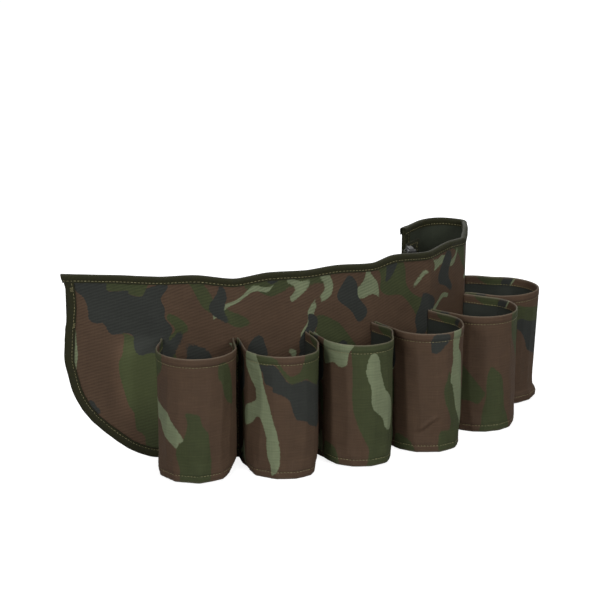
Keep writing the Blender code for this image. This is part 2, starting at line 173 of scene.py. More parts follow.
def middle_line(s):
    """The same line with each turn rounded a little, as cloth takes it."""
    x, y, heading = straight_line(s)
    for k, seam in enumerate(seams):
        near = np.abs(s - k * pitch) < hinge_round
        if not near.any():
            continue
        ax, ay, _ = (v[0] for v in straight_line([k * pitch - hinge_round]))
        bx, by, _ = (v[0] for v in straight_line([k * pitch + hinge_round]))
        t = (s[near] - k * pitch + hinge_round) / (2 * hinge_round)
        x[near] = (1 - t) ** 2 * ax + 2 * t * (1 - t) * seam[0] + t**2 * bx
        y[near] = (1 - t) ** 2 * ay + 2 * t * (1 - t) * seam[1] + t**2 * by
        dx = (1 - t) * (seam[0] - ax) + t * (bx - seam[0])
        dy = (1 - t) * (seam[1] - ay) + t * (by - seam[1])
        heading[near] = np.unwrap(np.concatenate(([headings[k]], np.arctan2(dy, dx))))[1:]
    return x, y, heading


def smooth(t):
    t = np.clip(t, 0, 1)
    return t * t * (3 - 2 * t)


def hump(x, centre, wide):
    return np.exp(-(((x - centre) / wide) ** 2))


def spaced(low, high, step):
    return np.linspace(low, high, max(2, int(round((high - low) / step)) + 1))


def run_of(points):
    """How far along a line each of its points lies."""
    return np.concatenate(([0], np.cumsum(np.hypot(*np.diff(points, axis=0).T))))


def eased(table, x):
    """A table of (place, value), read with soft turns at its rows."""
    places, values = np.array(table, float).T
    i = np.clip(np.searchsorted(places, x) - 1, 0, len(places) - 2)
    t = smooth((x - places[i]) / (places[i + 1] - places[i]))
    return values[i] + (values[i + 1] - values[i]) * t


# How far the panel's top edge stands above its cut height, along the row
top_wave = (
    (-90, -1.8), (-60, -1.4), (-30, -0.8), (0, -1.0), (30, 0.6), (66, -3.2), (98, 0.4), (132, -0.9),
    (160, 0.6), (198, -2.2), (222, 2.0), (264, -1.6), (297, 0.9), (330, -1.8), (362, 0.6), (396, -1.2),
    (430, 0.2), (490, 0.0),
)
# How far the panel above the pockets leans back, along the row
lean_wave = (
    (-90, -0.3), (-50, 0.5), (-20, -0.2), (0, 0.5), (33, -1.0), (66, 1.3), (99, -0.9), (132, 1.1),
    (165, -0.8), (198, 1.3), (231, -1.0), (264, 1.1), (297, -0.9), (330, 1.2), (363, -0.8), (396, 0.5),
    (430, 0.2), (490, 0.0),
)
# How far the left wing's end stands in from its cut line, by height
end_wave = (
    (70, 0.4), (90, -1.0), (104, -0.2), (114, 0.6), (123, 1.9), (136, 3.2), (145, 3.1), (152, 2.2),
    (160, 0.8), (164, -0.4), (168, -1.8),
)
# The height from which the panel waves and leans
free_from = 108


def arrays(*values):
    return np.broadcast_arrays(*(np.asarray(value, float) for value in values))


def on_row_plain(s, depth, z):
    """World points, in metres, at distance s along the row, depth behind its middle line and height z."""
    s, depth, z = arrays(s, depth, z)
    x, y, heading = middle_line(s)
    return np.stack([x - depth * np.sin(heading), y + depth * np.cos(heading), z], -1) * mm


def on_row(s, depth, z):
    """The same on the cloth of the back panel, whose top and end wave and lean."""
    s, depth, z = arrays(s, depth, z)
    s = s + eased(end_wave, z) * smooth((-60 - s) / 22)
    rise = smooth((z - free_from) / (panel_height - free_from))
    return on_row_plain(s, depth + eased(lean_wave, s) * rise * 0.8, z + eased(top_wave, s) * rise)


def from_place(place, heading, x, y, z):
    """World points from a place on the floor and a heading."""
    wx, wy = turned(heading, x, y)
    return np.stack(np.broadcast_arrays(place[0] + wx, place[1] + wy, z), -1) * mm


def on_pocket(number, x, y, z):
    """World points of a pocket, from its middle."""
    middle = (seams[number - 1] + seams[number]) / 2
    return from_place(middle, pocket_headings[number - 1], np.asarray(x, float), np.asarray(y, float), z)


# Shader helpers
def paint(*levels):
    """A colour named on a screen, as the shader takes it."""
    parts = [level / 255 for level in levels]
    return (*(part / 12.92 if part <= 0.04045 else ((part + 0.055) / 1.055) ** 2.4 for part in parts), 1.0)


class Nodes:
    """Short calls for placing and joining the nodes of one tree."""

    def __init__(self, tree):
        self.tree = tree

    def add(self, kind, **settings):
        node = self.tree.nodes.new(kind)
        inputs = settings.pop("inputs", {})
        for key, value in settings.items():
            setattr(node, key, value)
        for key, value in inputs.items():
            self.feed(node.inputs[key], value)
        return node

    def feed(self, socket, value):
        if isinstance(value, bpy.types.NodeSocket):
            self.tree.links.new(value, socket)
        else:
            socket.default_value = value

    def math(self, operation, a, b=0.0, c=0.0, clamp=False):
        inputs = {0: a, 1: b, 2: c}
        return self.add("ShaderNodeMath", operation=operation, use_clamp=clamp, inputs=inputs).outputs[0]

    def vary(self, tone, value, depth):
        """A tone made lighter where the value is over a half and darker where it is under."""
        return self.math("MULTIPLY_ADD", self.math("SUBTRACT", value, 0.5), depth, tone)

    def mix(self, factor, a, b, blend="MIX"):
        inputs = {0: factor, 6: a, 7: b}
        return self.add("ShaderNodeMix", data_type="RGBA", blend_type=blend, inputs=inputs).outputs[2]

    def toned(self, colour, tone):
        grey = self.add("ShaderNodeCombineXYZ", inputs={0: tone, 1: tone, 2: tone}).outputs[0]
        return self.mix(1.0, colour, grey, "MULTIPLY")

    def noise(self, vector, scale, detail=3.0):
        inputs = {"Vector": vector, "Scale": scale, "Detail": detail, "Roughness": 0.55}
        return self.add("ShaderNodeTexNoise", inputs=inputs).outputs["Fac"]

    def span(self, value, low, high, to_low=0.0, to_high=1.0):
        inputs = {0: value, 1: low, 2: high, 3: to_low, 4: to_high}
        return self.add("ShaderNodeMapRange", interpolation_type="SMOOTHSTEP", inputs=inputs).outputs[0]

    def bump(self, height, strength, distance):
        inputs = {"Height": height, "Strength": strength, "Distance": distance}
        return self.add("ShaderNodeBump", inputs=inputs).outputs[0]

    def stretch(self, vector, scale, turn=0.0):
        inputs = {"Vector": vector, "Scale": scale, "Rotation": (0, 0, turn)}
        return self.add("ShaderNodeMapping", inputs=inputs).outputs[0]

    def attribute(self, name):
        return self.add("ShaderNodeAttribute", attribute_name=name).outputs["Fac"]

    def object_place(self):
        return self.add("ShaderNodeTexCoord").outputs["Object"]

    def use(self, tree, **inputs):
        node = self.add("ShaderNodeGroup", node_tree=tree)
        for label, value in inputs.items():
            self.feed(node.inputs[label.replace("_", " ")], value)
        return node.outputs


def group(name, place, numbers, *gives):
    """An empty shader group that takes a place and numbers, given with their usual values, and its nodes."""
    tree = bpy.data.node_groups.new(name, "ShaderNodeTree")
    tree.interface.new_socket(place, in_out="INPUT", socket_type="NodeSocketVector")
    for label, usual in numbers.items():
        tree.interface.new_socket(label, in_out="INPUT", socket_type="NodeSocketFloat").default_value = usual
    for label in gives:
        tree.interface.new_socket(label, in_out="OUTPUT", socket_type="NodeSocketFloat")
    n = Nodes(tree)
    return tree, n, n.add("NodeGroupInput").outputs, n.add("NodeGroupOutput").inputs


def woven_group():
    """Plain weave: threads going over and under, uneven thread by thread."""
    tree, n, given, out = group("plain weave", "Cloth", {"Pitch": 0.6, "Slub": 0.5}, "Height", "Tone")
    split = n.add("ShaderNodeSeparateXYZ", inputs={0: given["Cloth"]}).outputs
    turns = n.math("DIVIDE", math.pi * 2, given["Pitch"])
    along, across = (n.math("SINE", n.math("MULTIPLY", split[axis], turns)) for axis in (0, 1))
    over = n.math("MULTIPLY_ADD", n.math("MULTIPLY", along, across), 0.5, 0.5)
    stretches = ((1.7, 0.05, 1), (0.05, 1.7, 1))
    warp, weft = (n.noise(n.stretch(given["Cloth"], scale), 1.0, 2) for scale in stretches)
    slubs = n.math("SUBTRACT", n.math("ADD", warp, weft), 1.0)
    n.feed(out["Height"], n.math("MULTIPLY_ADD", slubs, given["Slub"], over))
    n.feed(out["Tone"], n.math("MULTIPLY_ADD", slubs, given["Slub"], 0.0))
    return tree


def ribbed_group():
    """Raised ribs across a tape or along a webbing, a little uneven."""
    tree, n, given, out = group("tape ribs", "Tape", {"Pitch": 1.0, "Cross Pitch": 0.7}, "Height", "Tone")
    shake = n.math("MULTIPLY", n.noise(given["Tape"], 0.35, 2), 0.9)
    split = n.add("ShaderNodeSeparateXYZ", inputs={0: given["Tape"]}).outputs

    def ridges(place, between):
        turns = n.math("MULTIPLY", place, n.math("DIVIDE", math.pi, between))
        return n.math("ABSOLUTE", n.math("SINE", turns))

    main = ridges(n.math("ADD", split[0], shake), given["Pitch"])
    cross = ridges(split[1], given["Cross Pitch"])
    n.feed(out["Height"], n.math("MULTIPLY_ADD", cross, 0.3, main))
    n.feed(out["Tone"], n.math("SUBTRACT", n.noise(given["Tape"], 0.22, 4), 0.5))
    return tree


def print_group():
    """One printed colour's edge: the cut shape with a slightly ragged, bled outline."""
    tree, n, given, out = group("printed edge", "Cloth", {"Shape": 0.0, "Bleed": 0.5}, "Mask")
    ragged = n.math("SUBTRACT", n.noise(given["Cloth"], 0.5, 3), 0.5)
    inside = n.math("MULTIPLY_ADD", ragged, 2.4, given["Shape"])
    low = n.math("MULTIPLY", given["Bleed"], -0.5)
    n.feed(out["Mask"], n.span(inside, low, n.math("MULTIPLY", low, -1.0)))
    return tree


def worn_group():
    """Handling marks: soft patches with a few fine scratches."""
    tree, n, given, out = group("handling wear", "Place", {"Scale": 60.0}, "Patches", "Grain")
    n.feed(out["Patches"], n.span(n.noise(given["Place"], given["Scale"], 4), 0.42, 0.7))
    n.feed(out["Grain"], n.noise(given["Place"], n.math("MULTIPLY", given["Scale"], 45.0), 2))
    return tree


weave, ribs, printed, wear = woven_group(), ribbed_group(), print_group(), worn_group()


def finish(name):
    """A new material with its nodes and its shader's sockets."""
    made = bpy.data.materials.new(name)
    made.use_nodes = True
    return made, Nodes(made.node_tree), made.node_tree.nodes["Principled BSDF"].inputs


def cloth_finish(name):
    """The same for a cloth, which shines little, and the cloth's own flat coordinates."""
    made, n, shader = finish(name)
    shader["Specular IOR Level"].default_value = 0.16
    return made, n, shader, n.add("ShaderNodeUVMap", uv_map="cloth").outputs[0]


print_colours = {"green": paint(55, 60, 37), "sage": paint(106, 114, 88), "charcoal": paint(42, 44, 41)}


def camouflage_cloth(name, slant, lined):
    """Printed cloth. The slant is how steeply its woven lines rise, and lined is how clearly they show."""
    made, n, shader, cloth = cloth_finish(name)
    colour = paint(72, 56, 43)
    for label, tint in print_colours.items():
        mask = n.use(printed, Cloth=cloth, Shape=n.attribute(label), Bleed=0.9)["Mask"]
        colour = n.mix(mask, colour, tint)
    # Paler at the pockets' rim and bottom folds: partly worn from folding, partly a painted highlight
    pressed = n.attribute("pressed")
    colour = n.mix(n.math("MULTIPLY", pressed, 0.5, clamp=True), colour, paint(122, 112, 98))
    threads = n.use(weave, Cloth=cloth, Pitch=0.62, Slub=0.8)
    fade = n.noise(cloth, 0.045, 4)
    lines = n.noise(n.stretch(cloth, (0.07, 0.75, 1), slant), 1.0, 2)
    bands = {
        "Vector": n.stretch(cloth, (1, 1, 1), -slant), "Scale": 0.115, "Distortion": 1.2, "Detail": 2,
        "Detail Scale": 0.5,
    }
    woven_lines = n.add(
        "ShaderNodeTexWave", wave_type="BANDS", bands_direction="Y", wave_profile="SIN", inputs=bands,
    )
    tone = n.math("MULTIPLY_ADD", threads["Tone"], 0.45, 1.0)
    tone = n.vary(tone, fade, 0.5)
    # Painted shade: darker beside the pockets' hem stitches
    tone = n.math("MULTIPLY_ADD", n.math("MINIMUM", pressed, 0.0), 0.45, tone)
    # Painted light: paler where the left wing runs in to the first pocket
    tone = n.math("MULTIPLY_ADD", n.attribute("faded"), 0.9, tone)
    tone = n.vary(tone, lines, 0.4)
    tone = n.vary(tone, woven_lines.outputs["Fac"], lined)
    n.feed(shader["Base Color"], n.toned(colour, tone))
    n.feed(shader["Roughness"], n.span(fade, 0.2, 0.8, 0.62, 0.78))
    height = n.math("MULTIPLY_ADD", lines, 0.6, threads["Height"])
    n.feed(shader["Normal"], n.bump(height, 0.5, 0.00012))
    return made


def plain_cloth(name, colour, pitch_mm, rough, tone_depth):
    made, n, shader, cloth = cloth_finish(name)
    threads = n.use(weave, Cloth=cloth, Pitch=pitch_mm, Slub=0.7)
    fade = n.noise(cloth, 0.05, 4)
    tone = n.vary(n.math("MULTIPLY_ADD", threads["Tone"], tone_depth, 1.0), fade, 0.5)
    n.feed(shader["Base Color"], n.toned(colour, tone))
    n.feed(shader["Roughness"], n.span(fade, 0.2, 0.8, rough - 0.08, rough + 0.08))
    n.feed(shader["Normal"], n.bump(threads["Height"], 0.45, 0.0001))
    return made


def ribbed_tape(name, colour, pitch_mm, cross_mm, depth):
    made, n, shader, place = cloth_finish(name)
    ribbing = n.use(ribs, Tape=place, Pitch=pitch_mm, Cross_Pitch=cross_mm)
    # Painted shade and highlight: darker in the rib valleys, lighter on the rib tops
    tone = n.math("MULTIPLY_ADD", ribbing["Tone"], 0.9, n.span(ribbing["Height"], 0.0, 1.3, 0.5, 1.12))
    n.feed(shader["Base Color"], n.toned(colour, tone))
    n.feed(shader["Roughness"], n.span(ribbing["Tone"], -0.3, 0.3, 0.62, 0.8))
    n.feed(shader["Normal"], n.bump(ribbing["Height"], 0.8, depth))
    return made


def sewing_thread():
    made, n, shader = finish("sewing thread")
    twist = n.noise(n.object_place(), 900.0, 2)
    n.feed(shader["Base Color"], n.mix(n.span(twist, 0.3, 0.7), paint(122, 116, 78), paint(88, 82, 54)))
    n.feed(shader["Roughness"], n.span(twist, 0.3, 0.7, 0.5, 0.7))
    n.feed(shader["Normal"], n.bump(twist, 0.4, 0.0001))
    return made


def moulded_plastic():
    made, n, shader = finish("moulded buckle plastic")
    marks = n.use(wear, Place=n.object_place(), Scale=70.0)
    n.feed(shader["Base Color"], n.mix(marks["Patches"], paint(24, 24, 23), paint(38, 38, 36)))
    n.feed(shader["Roughness"], n.span(marks["Patches"], 0.0, 1.0, 0.5, 0.62))
    shader["Specular IOR Level"].default_value = 0.3
    n.feed(shader["Normal"], n.bump(marks["Grain"], 0.25, 0.0001))
    return made


camouflage = camouflage_cloth("printed camouflage cloth", 0.02, 0.07)
panel_camouflage = camouflage_cloth("printed camouflage cloth of the panel", 0.34, 0.27)
lining = plain_cloth("plain lining cloth", paint(50, 54, 44), 0.5, 0.78, 0.5)
coating = plain_cloth("coated back of the cloth", paint(44, 47, 42), 0.62, 0.6, 0.3)
tape = ribbed_tape("ribbed binding tape", paint(33, 33, 15), 1.15, 0.8, 0.00018)
webbing = ribbed_tape("strap webbing", paint(46, 47, 36), 1.5, 1.2, 0.0003)
elastic = ribbed_tape("knitted elastic", paint(36, 36, 34), 0.9, 1.6, 0.00025)
thread = sewing_thread()
plastic = moulded_plastic()

# The printed pattern
# Outlines in millimetres of cloth: along the row (wing) or from the pocket's left foot (pockets), and up
wing_print = {
    "charcoal": [
        [(-80, 170), (-48, 166), (-46, 153), (-38, 152), (-27, 153), (-26, 150), (-17, 148), (-13, 150),
         (-11, 155), (-4, 158), (9, 159), (14, 126), (8, 95), (-6, 97), (-16, 94), (-21, 97), (-23, 104),
         (-23, 111), (-30, 114), (-41, 112), (-45, 115), (-49, 122), (-56, 122), (-62, 125), (-63, 133),
         (-65, 141), (-69, 147), (-76, 153)],
        [(-65, 50), (-60, 49), (-58, 45), (-55, 42), (-55, 38), (-59, 39), (-62, 43)],
    ],
    "green": [
        [(-48, 172), (-8, 172), (-9, 160), (-13, 150), (-17, 148), (-26, 150), (-27, 153), (-38, 152),
         (-46, 153), (-49, 159)],
        [(-33, 114), (-31, 111), (-32, 102), (-33, 94), (-36, 88), (-36, 79), (-34, 69), (-31, 58),
         (-28, 48), (-24, 42), (-23, 34), (-22, 25), (-17, 22), (-14, 16), (-13, -4), (10, -4), (14, 50),
         (10, 108), (-6, 104), (-16, 102), (-23, 111)],
    ],
    "sage": [
        [(-77, 119), (-75, 113), (-74, 103), (-73, 96), (-73, 90), (-74, 84), (-76, 77), (-80, 76),
         (-81, 90), (-81, 105)],
    ],
}
pocket_print = {
    1: {
        "sage": [
            [(30, 66), (44, 67), (54, 63), (61, 61), (65, 54), (71, 48), (77, 39), (73, 35), (70, 31),
             (63, 35), (53, 42), (48, 50), (37, 56)],
        ],
        "green": [
            [(22, 111), (44, 114), (54, 112), (55, 106), (54, 98), (46, 90), (37, 86), (24, 90)],
            [(79, 62), (83, 63), (88, 62), (92, 60), (94, 52), (99, 45), (100, 36), (101, 26), (102, 17),
             (101, 4), (99, -6), (76, -6), (73, 13), (70, 25), (72, 33), (77, 39), (80, 47), (81, 55)],
            [(110, 104), (121, 102), (128, 86), (130, 66), (122, 68), (116, 76), (113, 88), (110, 91)],
        ],
    },
    2: {
        "sage": [
            [(42, 116), (50, 114), (56, 102), (58, 92), (60, 82), (63, 72), (66, 61), (69, 50), (72, 39),
             (74, 27), (74, 18), (73, 10), (67, 2), (66, 11), (63, 20), (62, 30), (62, 37), (59, 47),
             (56, 54), (51, 54), (46, 48), (36, 43), (28, 45), (28, 55), (36, 61), (49, 68), (51, 73),
             (50, 80), (45, 86), (41, 93), (38, 101)],
        ],
        "green": [
            [(49, 116), (70, 109), (74, 104), (80, 96), (85, 93), (92, 96), (96, 107), (100, 116),
             (124, 118), (124, 84), (117, 78), (106, 84), (98, 89), (92, 87), (85, 86), (80, 90), (74, 99),
             (69, 104), (62, 102), (55, 103)],
        ],
        "charcoal": [
            [(56, 102), (62, 102), (69, 103), (74, 98), (80, 89), (85, 86), (92, 87), (98, 88), (106, 84),
             (115, 80), (126, 82), (130, 60), (124, 44), (115, 42), (102, 47), (98, 51), (89, 54), (85, 63),
             (82, 72), (74, 77), (68, 79), (68, 83), (61, 86), (59, 94)],
        ],
    },
    3: {
        "sage": [
            [(24, 106), (34, 114), (66, 118), (66, 110), (64, 107), (61, 101), (60, 93), (56, 90), (51, 90),
             (46, 93), (38, 90), (26, 88)],
            [(83, 103), (87, 101), (90, 94), (91, 86), (94, 75), (97, 68), (104, 60), (107, 52), (107, 41),
             (105, 32), (100, 31), (96, 35), (94, 42), (88, 48), (84, 52), (82, 60), (82, 70), (79, 79),
             (77, 86), (78, 94), (80, 100)],
        ],
        "green": [
            [(66, 118), (64, 106), (65, 90), (65, 74), (65, 62), (66, 51), (69, 41), (72, 33), (77, 23),
             (80, 16), (79, 4), (80, -6), (124, -6), (128, 40), (122, 70), (126, 118)],
            [(26, 16), (41, 18), (50, 12), (52, -6), (30, -8)],
        ],
    },
    4: {
        "charcoal": [
            [(72, 110), (85, 109), (85, 103), (80, 98), (75, 93), (69, 93), (68, 99), (68, 105)],
        ],
        "sage": [
            [(93, 116), (102, 114), (98, 95), (106, 86), (109, 74), (113, 47), (110, 31), (105, 19),
             (101, 28), (96, 38), (93, 51), (90, 62), (88, 64), (89, 75), (91, 84), (90, 96), (90, 108)],
        ],
        "green": [
            [(86, 75), (88, 70), (92, 66), (108, 60), (120, 44), (112, 22), (104, 10), (100, 2), (94, -6),
             (78, -6), (77, 18), (87, 20), (89, 28), (86, 37), (82, 48), (81, 59), (84, 68)],
            [(28, 14), (47, 12), (55, 1), (50, -6), (30, -6)],
        ],
    },
    5: {
        "green": [
            # Painted shade: this first outline is a sage patch, drawn in green because it lies in shadow
            # beside the fourth pocket
            [(24, 70), (36, 63), (44, 54), (49, 48), (54, 42), (57, 37), (55, 32), (50, 27), (43, 30),
             (28, 34)],
            [(62, 62), (64, 62), (72, 55), (75, 48), (76, 40), (78, 22), (82, 12), (82, -6), (54, -6),
             (54, 9), (55, 20), (58, 33), (58, 46), (59, 55)],
            [(86, 114), (104, 116), (110, 90), (104, 58), (91, 79), (85, 93)],
        ],
    },
    6: {
        "green": [
            [(34, 92), (44, 97), (51, 100), (61, 97), (87, 93), (104, 90), (100, 70), (87, 74), (66, 81),
             (55, 85), (51, 82), (51, 67), (48, 55), (40, 55)],
        ],
        "charcoal": [
            [(51, 84), (56, 86), (66, 82), (87, 78), (100, 70), (98, 44), (87, 44), (67, 52), (62, 62),
             (56, 72), (51, 77)],
        ],
    },
}


def softened(outline, steps=4):
    """A closed outline through the same points, with its corners drawn round."""
    points = np.array(outline, float)
    before, after, beyond = np.roll(points, 1, 0), np.roll(points, -1, 0), np.roll(points, -2, 0)
    first = after - before
    second = 2 * before - 5 * points + 4 * after - beyond
    third = 3 * points - before - 3 * after + beyond
    rows = [0.5 * (2 * points + first * t + second * t**2 + third * t**3) for t in np.arange(steps) / steps]
    return np.stack(rows, 1).reshape(-1, 2)


def inside_by(outline, x, z):
    """How far inside an outline each point lies; below nought outside."""
    near, within = np.full(x.shape, 1e3), np.zeros(x.shape, bool)
    ring = softened(outline)
    for (x0, z0), (x1, z1) in zip(ring, np.roll(ring, -1, 0)):
        ex, ez = x1 - x0, z1 - z0
        t = np.clip(((x - x0) * ex + (z - z0) * ez) / max(ex * ex + ez * ez, 1e-9), 0, 1)
        near = np.minimum(near, np.hypot(x - x0 - t * ex, z - z0 - t * ez))
        crosses = (z0 > z) != (z1 > z)
        within ^= crosses & (x < ex * (z - z0) / (ez if abs(ez) > 1e-9 else 1e-9) + x0)
    return np.where(within, near, -near)


def rolling(seed, x, z, coarse):
    """A smooth made-up landscape of hills and hollows, from minus one to one or so."""
    rng = random.Random(seed)
    x, z = (
        x + 7 * np.sin(z / 13 + seed) + 3 * np.sin(z / 5.1),
        z + 6 * np.sin(x / 11 + seed) + 2.5 * np.sin(x / 4.7),
    )
    total = np.zeros_like(x)
    for _ in range(9):
        heading, wave = rng.uniform(0, math.pi), coarse * rng.uniform(0.7, 1.9)
        ahead = x * math.cos(heading) + 0.75 * z * math.sin(heading)
        total = total + np.sin(ahead * 2 * math.pi / wave + rng.uniform(0, 6))
    return total / 3.2


def made_up(colour, x, z):
    """The print where the photograph can't show it, in the same sort of patches."""
    if colour == "green":
        return (rolling(3, x, z, 46) - 0.34) * 12
    if colour == "charcoal":
        return (rolling(9, x, z, 52) - 0.72) * 12
    hills = rolling(5, x, z, 60)
    return np.minimum(3.4 - np.abs(hills - 0.1) * 16, (rolling(6, x, z, 40) - 0.05) * 14)


def pattern(x, z, shapes, low, high):
    """The printed colours' shapes at each point of a cloth: as outlined from low to high, made up beyond."""
    fields = {}
    ragged = 9 + 4 * np.sin(z / 8.3) + 2 * np.sin(z / 3.1 + 1)
    seen = smooth((x - low + 4) / 8) * smooth((high + ragged - x) / 8) if shapes else np.zeros_like(x)
    for colour in print_colours:
        field = np.full(x.shape, -12.0)
        for outline in shapes.get(colour, ()):
            field = np.maximum(field, inside_by(outline, x, z))
        fields[colour] = np.clip(field, -12, 12) * seen + made_up(colour, x, z) * (1 - seen)
    return fields


# Making cloth
def new_object(name, data, *materials):
    obj = bpy.data.objects.new(name, data)
    bpy.context.scene.collection.objects.link(obj)
    for material in materials:
        data.materials.append(material)
    return obj


def mesh_of(name, bm):
    """A new mesh of what was built, which is then let go."""
    mesh = bpy.data.meshes.new(name)
    bm.to_mesh(mesh)
    bm.free()
    return mesh


def points_of(mesh):
    points = np.zeros(len(mesh.vertices) * 3)
    mesh.vertices.foreach_get("co", points)
    return points.reshape(-1, 3)


def move_points(mesh, points):
    mesh.vertices.foreach_set("co", points.astype(np.float32).ravel())


def settle(obj):
    """Work the modifiers into the mesh, so that the mesh holds its last shape."""
    bpy.context.view_layer.update()
    evaluated = obj.evaluated_get(bpy.context.evaluated_depsgraph_get())
    mesh = bpy.data.meshes.new_from_object(evaluated)
    obj.modifiers.clear()
    old, obj.data = obj.data, mesh
    bpy.data.meshes.remove(old)
    mesh.name = obj.name
    return obj


def cloth(name, columns, rows, lay, spread, materials, thickness, fields=None, flip=False, weld=False):
    """A sheet laid by a function of its columns and rows, with its own flat coordinates in millimetres."""
    bm = bmesh.new()
    bmesh.ops.create_grid(bm, x_segments=len(columns) - 1, y_segments=len(rows) - 1, size=0.5)
    mesh = mesh_of(name, bm)
    flat = points_of(mesh)[:, :2]
    low, high = flat.min(0), flat.max(0)
    i, j = np.rint((flat - low) / (high - low) * (len(columns) - 1, len(rows) - 1)).astype(int).T
    move_points(mesh, lay(i, j))
    across, up = spread(i, j)
    ends = np.zeros(len(mesh.loops), np.int32)
    mesh.loops.foreach_get("vertex_index", ends)
    layer = mesh.uv_layers.new(name="cloth")
    layer.data.foreach_set("uv", np.stack([across[ends], up[ends]], -1).astype(np.float32).ravel())
    for label, values in (fields(across, up) if fields else {}).items():
        mesh.attributes.new(label, "FLOAT", "POINT").data.foreach_set("value", values.astype(np.float32))
    if flip or weld:
        bm = bmesh.new()
        bm.from_mesh(mesh)
        if weld:
            bmesh.ops.remove_doubles(bm, verts=bm.verts, dist=0.00002)
        if flip:
            bmesh.ops.reverse_faces(bm, faces=bm.faces)
        bm.to_mesh(mesh)
        bm.free()
    obj = new_object(name, mesh, *materials)
    wall = obj.modifiers.new("cloth thickness", "SOLIDIFY")
    wall.thickness = thickness * mm
    wall.offset = 0
    wall.use_even_offset = False
    wall.material_offset = len(materials) - 1
    settle(obj)
    obj.data.shade_smooth()
    obj.data.set_sharp_from_angle(angle=math.radians(50))
    return obj


def stitches(name, lines, width=0.62, height=0.42):
    """Sewn thread: a small rounded bead for each stitch.

    A line is its points, what they face and a bead's share of the way to the next.
    """
    starts = np.concatenate([points[:-1] for points, _, _ in lines])
    ends = np.concatenate([points[1:] for points, _, _ in lines])
    up = np.concatenate([facings[:-1] for _, facings, _ in lines])
    share = np.concatenate([np.full(len(points) - 1, length) for points, _, length in lines])
    span = ends - starts
    reach = np.linalg.norm(span, axis=1)
    up = up / np.linalg.norm(up, axis=1)[:, None]
    ahead = span - up * (span * up).sum(1)[:, None]
    ahead /= np.linalg.norm(ahead, axis=1)[:, None]
    side = np.cross(up, ahead)

    bm = bmesh.new()
    bmesh.ops.create_uvsphere(bm, u_segments=8, v_segments=5, radius=1)
    bmesh.ops.rotate(bm, verts=bm.verts, cent=(0, 0, 0), matrix=Matrix.Rotation(math.pi / 2, 3, "Y"))
    mesh = mesh_of(name, bm)
    single = len(mesh.vertices)
    obj = new_object(name, mesh, thread)
    copies = obj.modifiers.new("one bead for each stitch", "ARRAY")
    copies.count = len(starts)
    copies.relative_offset_displace = (0, 0, 0)
    settle(obj)
    bead = points_of(obj.data).reshape(len(starts), single, 3)
    half_width, half_height = (np.full_like(reach, size * mm / 2) for size in (width, height))
    bead = bead * np.stack([reach * share / 2, half_width, half_height], -1)[:, None, :]
    placed = bead[..., :1] * ahead[:, None] + bead[..., 1:2] * side[:, None] + bead[..., 2:] * up[:, None]
    placed += ((starts + ends) / 2)[:, None]
    move_points(obj.data, placed)
    obj.data.shade_smooth()
    return obj


def bend(obj):
    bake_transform(obj)


section_names = ["left", "1_2", "2_3", "3_4", "4_5", "5_6", "right"]


def section_ends(k):
    """Where a panel section starts and ends along the row: at the middles of its two pockets."""
    low = -wing_length if k == 0 else (k - 0.5) * pitch
    return low, row_end + wing_length if k == 6 else (k + 0.5) * pitch


# How far the left wing's lower edge stands above its cut curve, along the row
foot_wave = (
    (-84, 0), (-80, -2.2), (-73, -1.2), (-64, 0.4), (-55, 1.9), (-46, 2.4), (-37, 1.8), (-28, 0.9),
    (-19, 0.5), (-8, 0),
)


def wing_foot(s):
    """The height of the wings' rounded lower edge at each distance along the row."""
    out = np.maximum(-s, s - row_end)
    share = np.clip((out - wing_bottom_run) / (wing_length - wing_bottom_run), 0, 1)
    curve = wing_end_height * (1 - np.maximum(0, 1 - share**wing_curve_power) ** (1 / wing_curve_power))
    return curve + eased(foot_wave, np.clip(s, -84, -8))


def inset_foot(s, inset):
    """The lower edge moved inward, square to itself."""
    step = 0.5
    slope = (wing_foot(s + step) - wing_foot(s - step)) / (2 * step)
    return wing_foot(s) + inset * np.sqrt(1 + np.minimum(slope**2, 36))


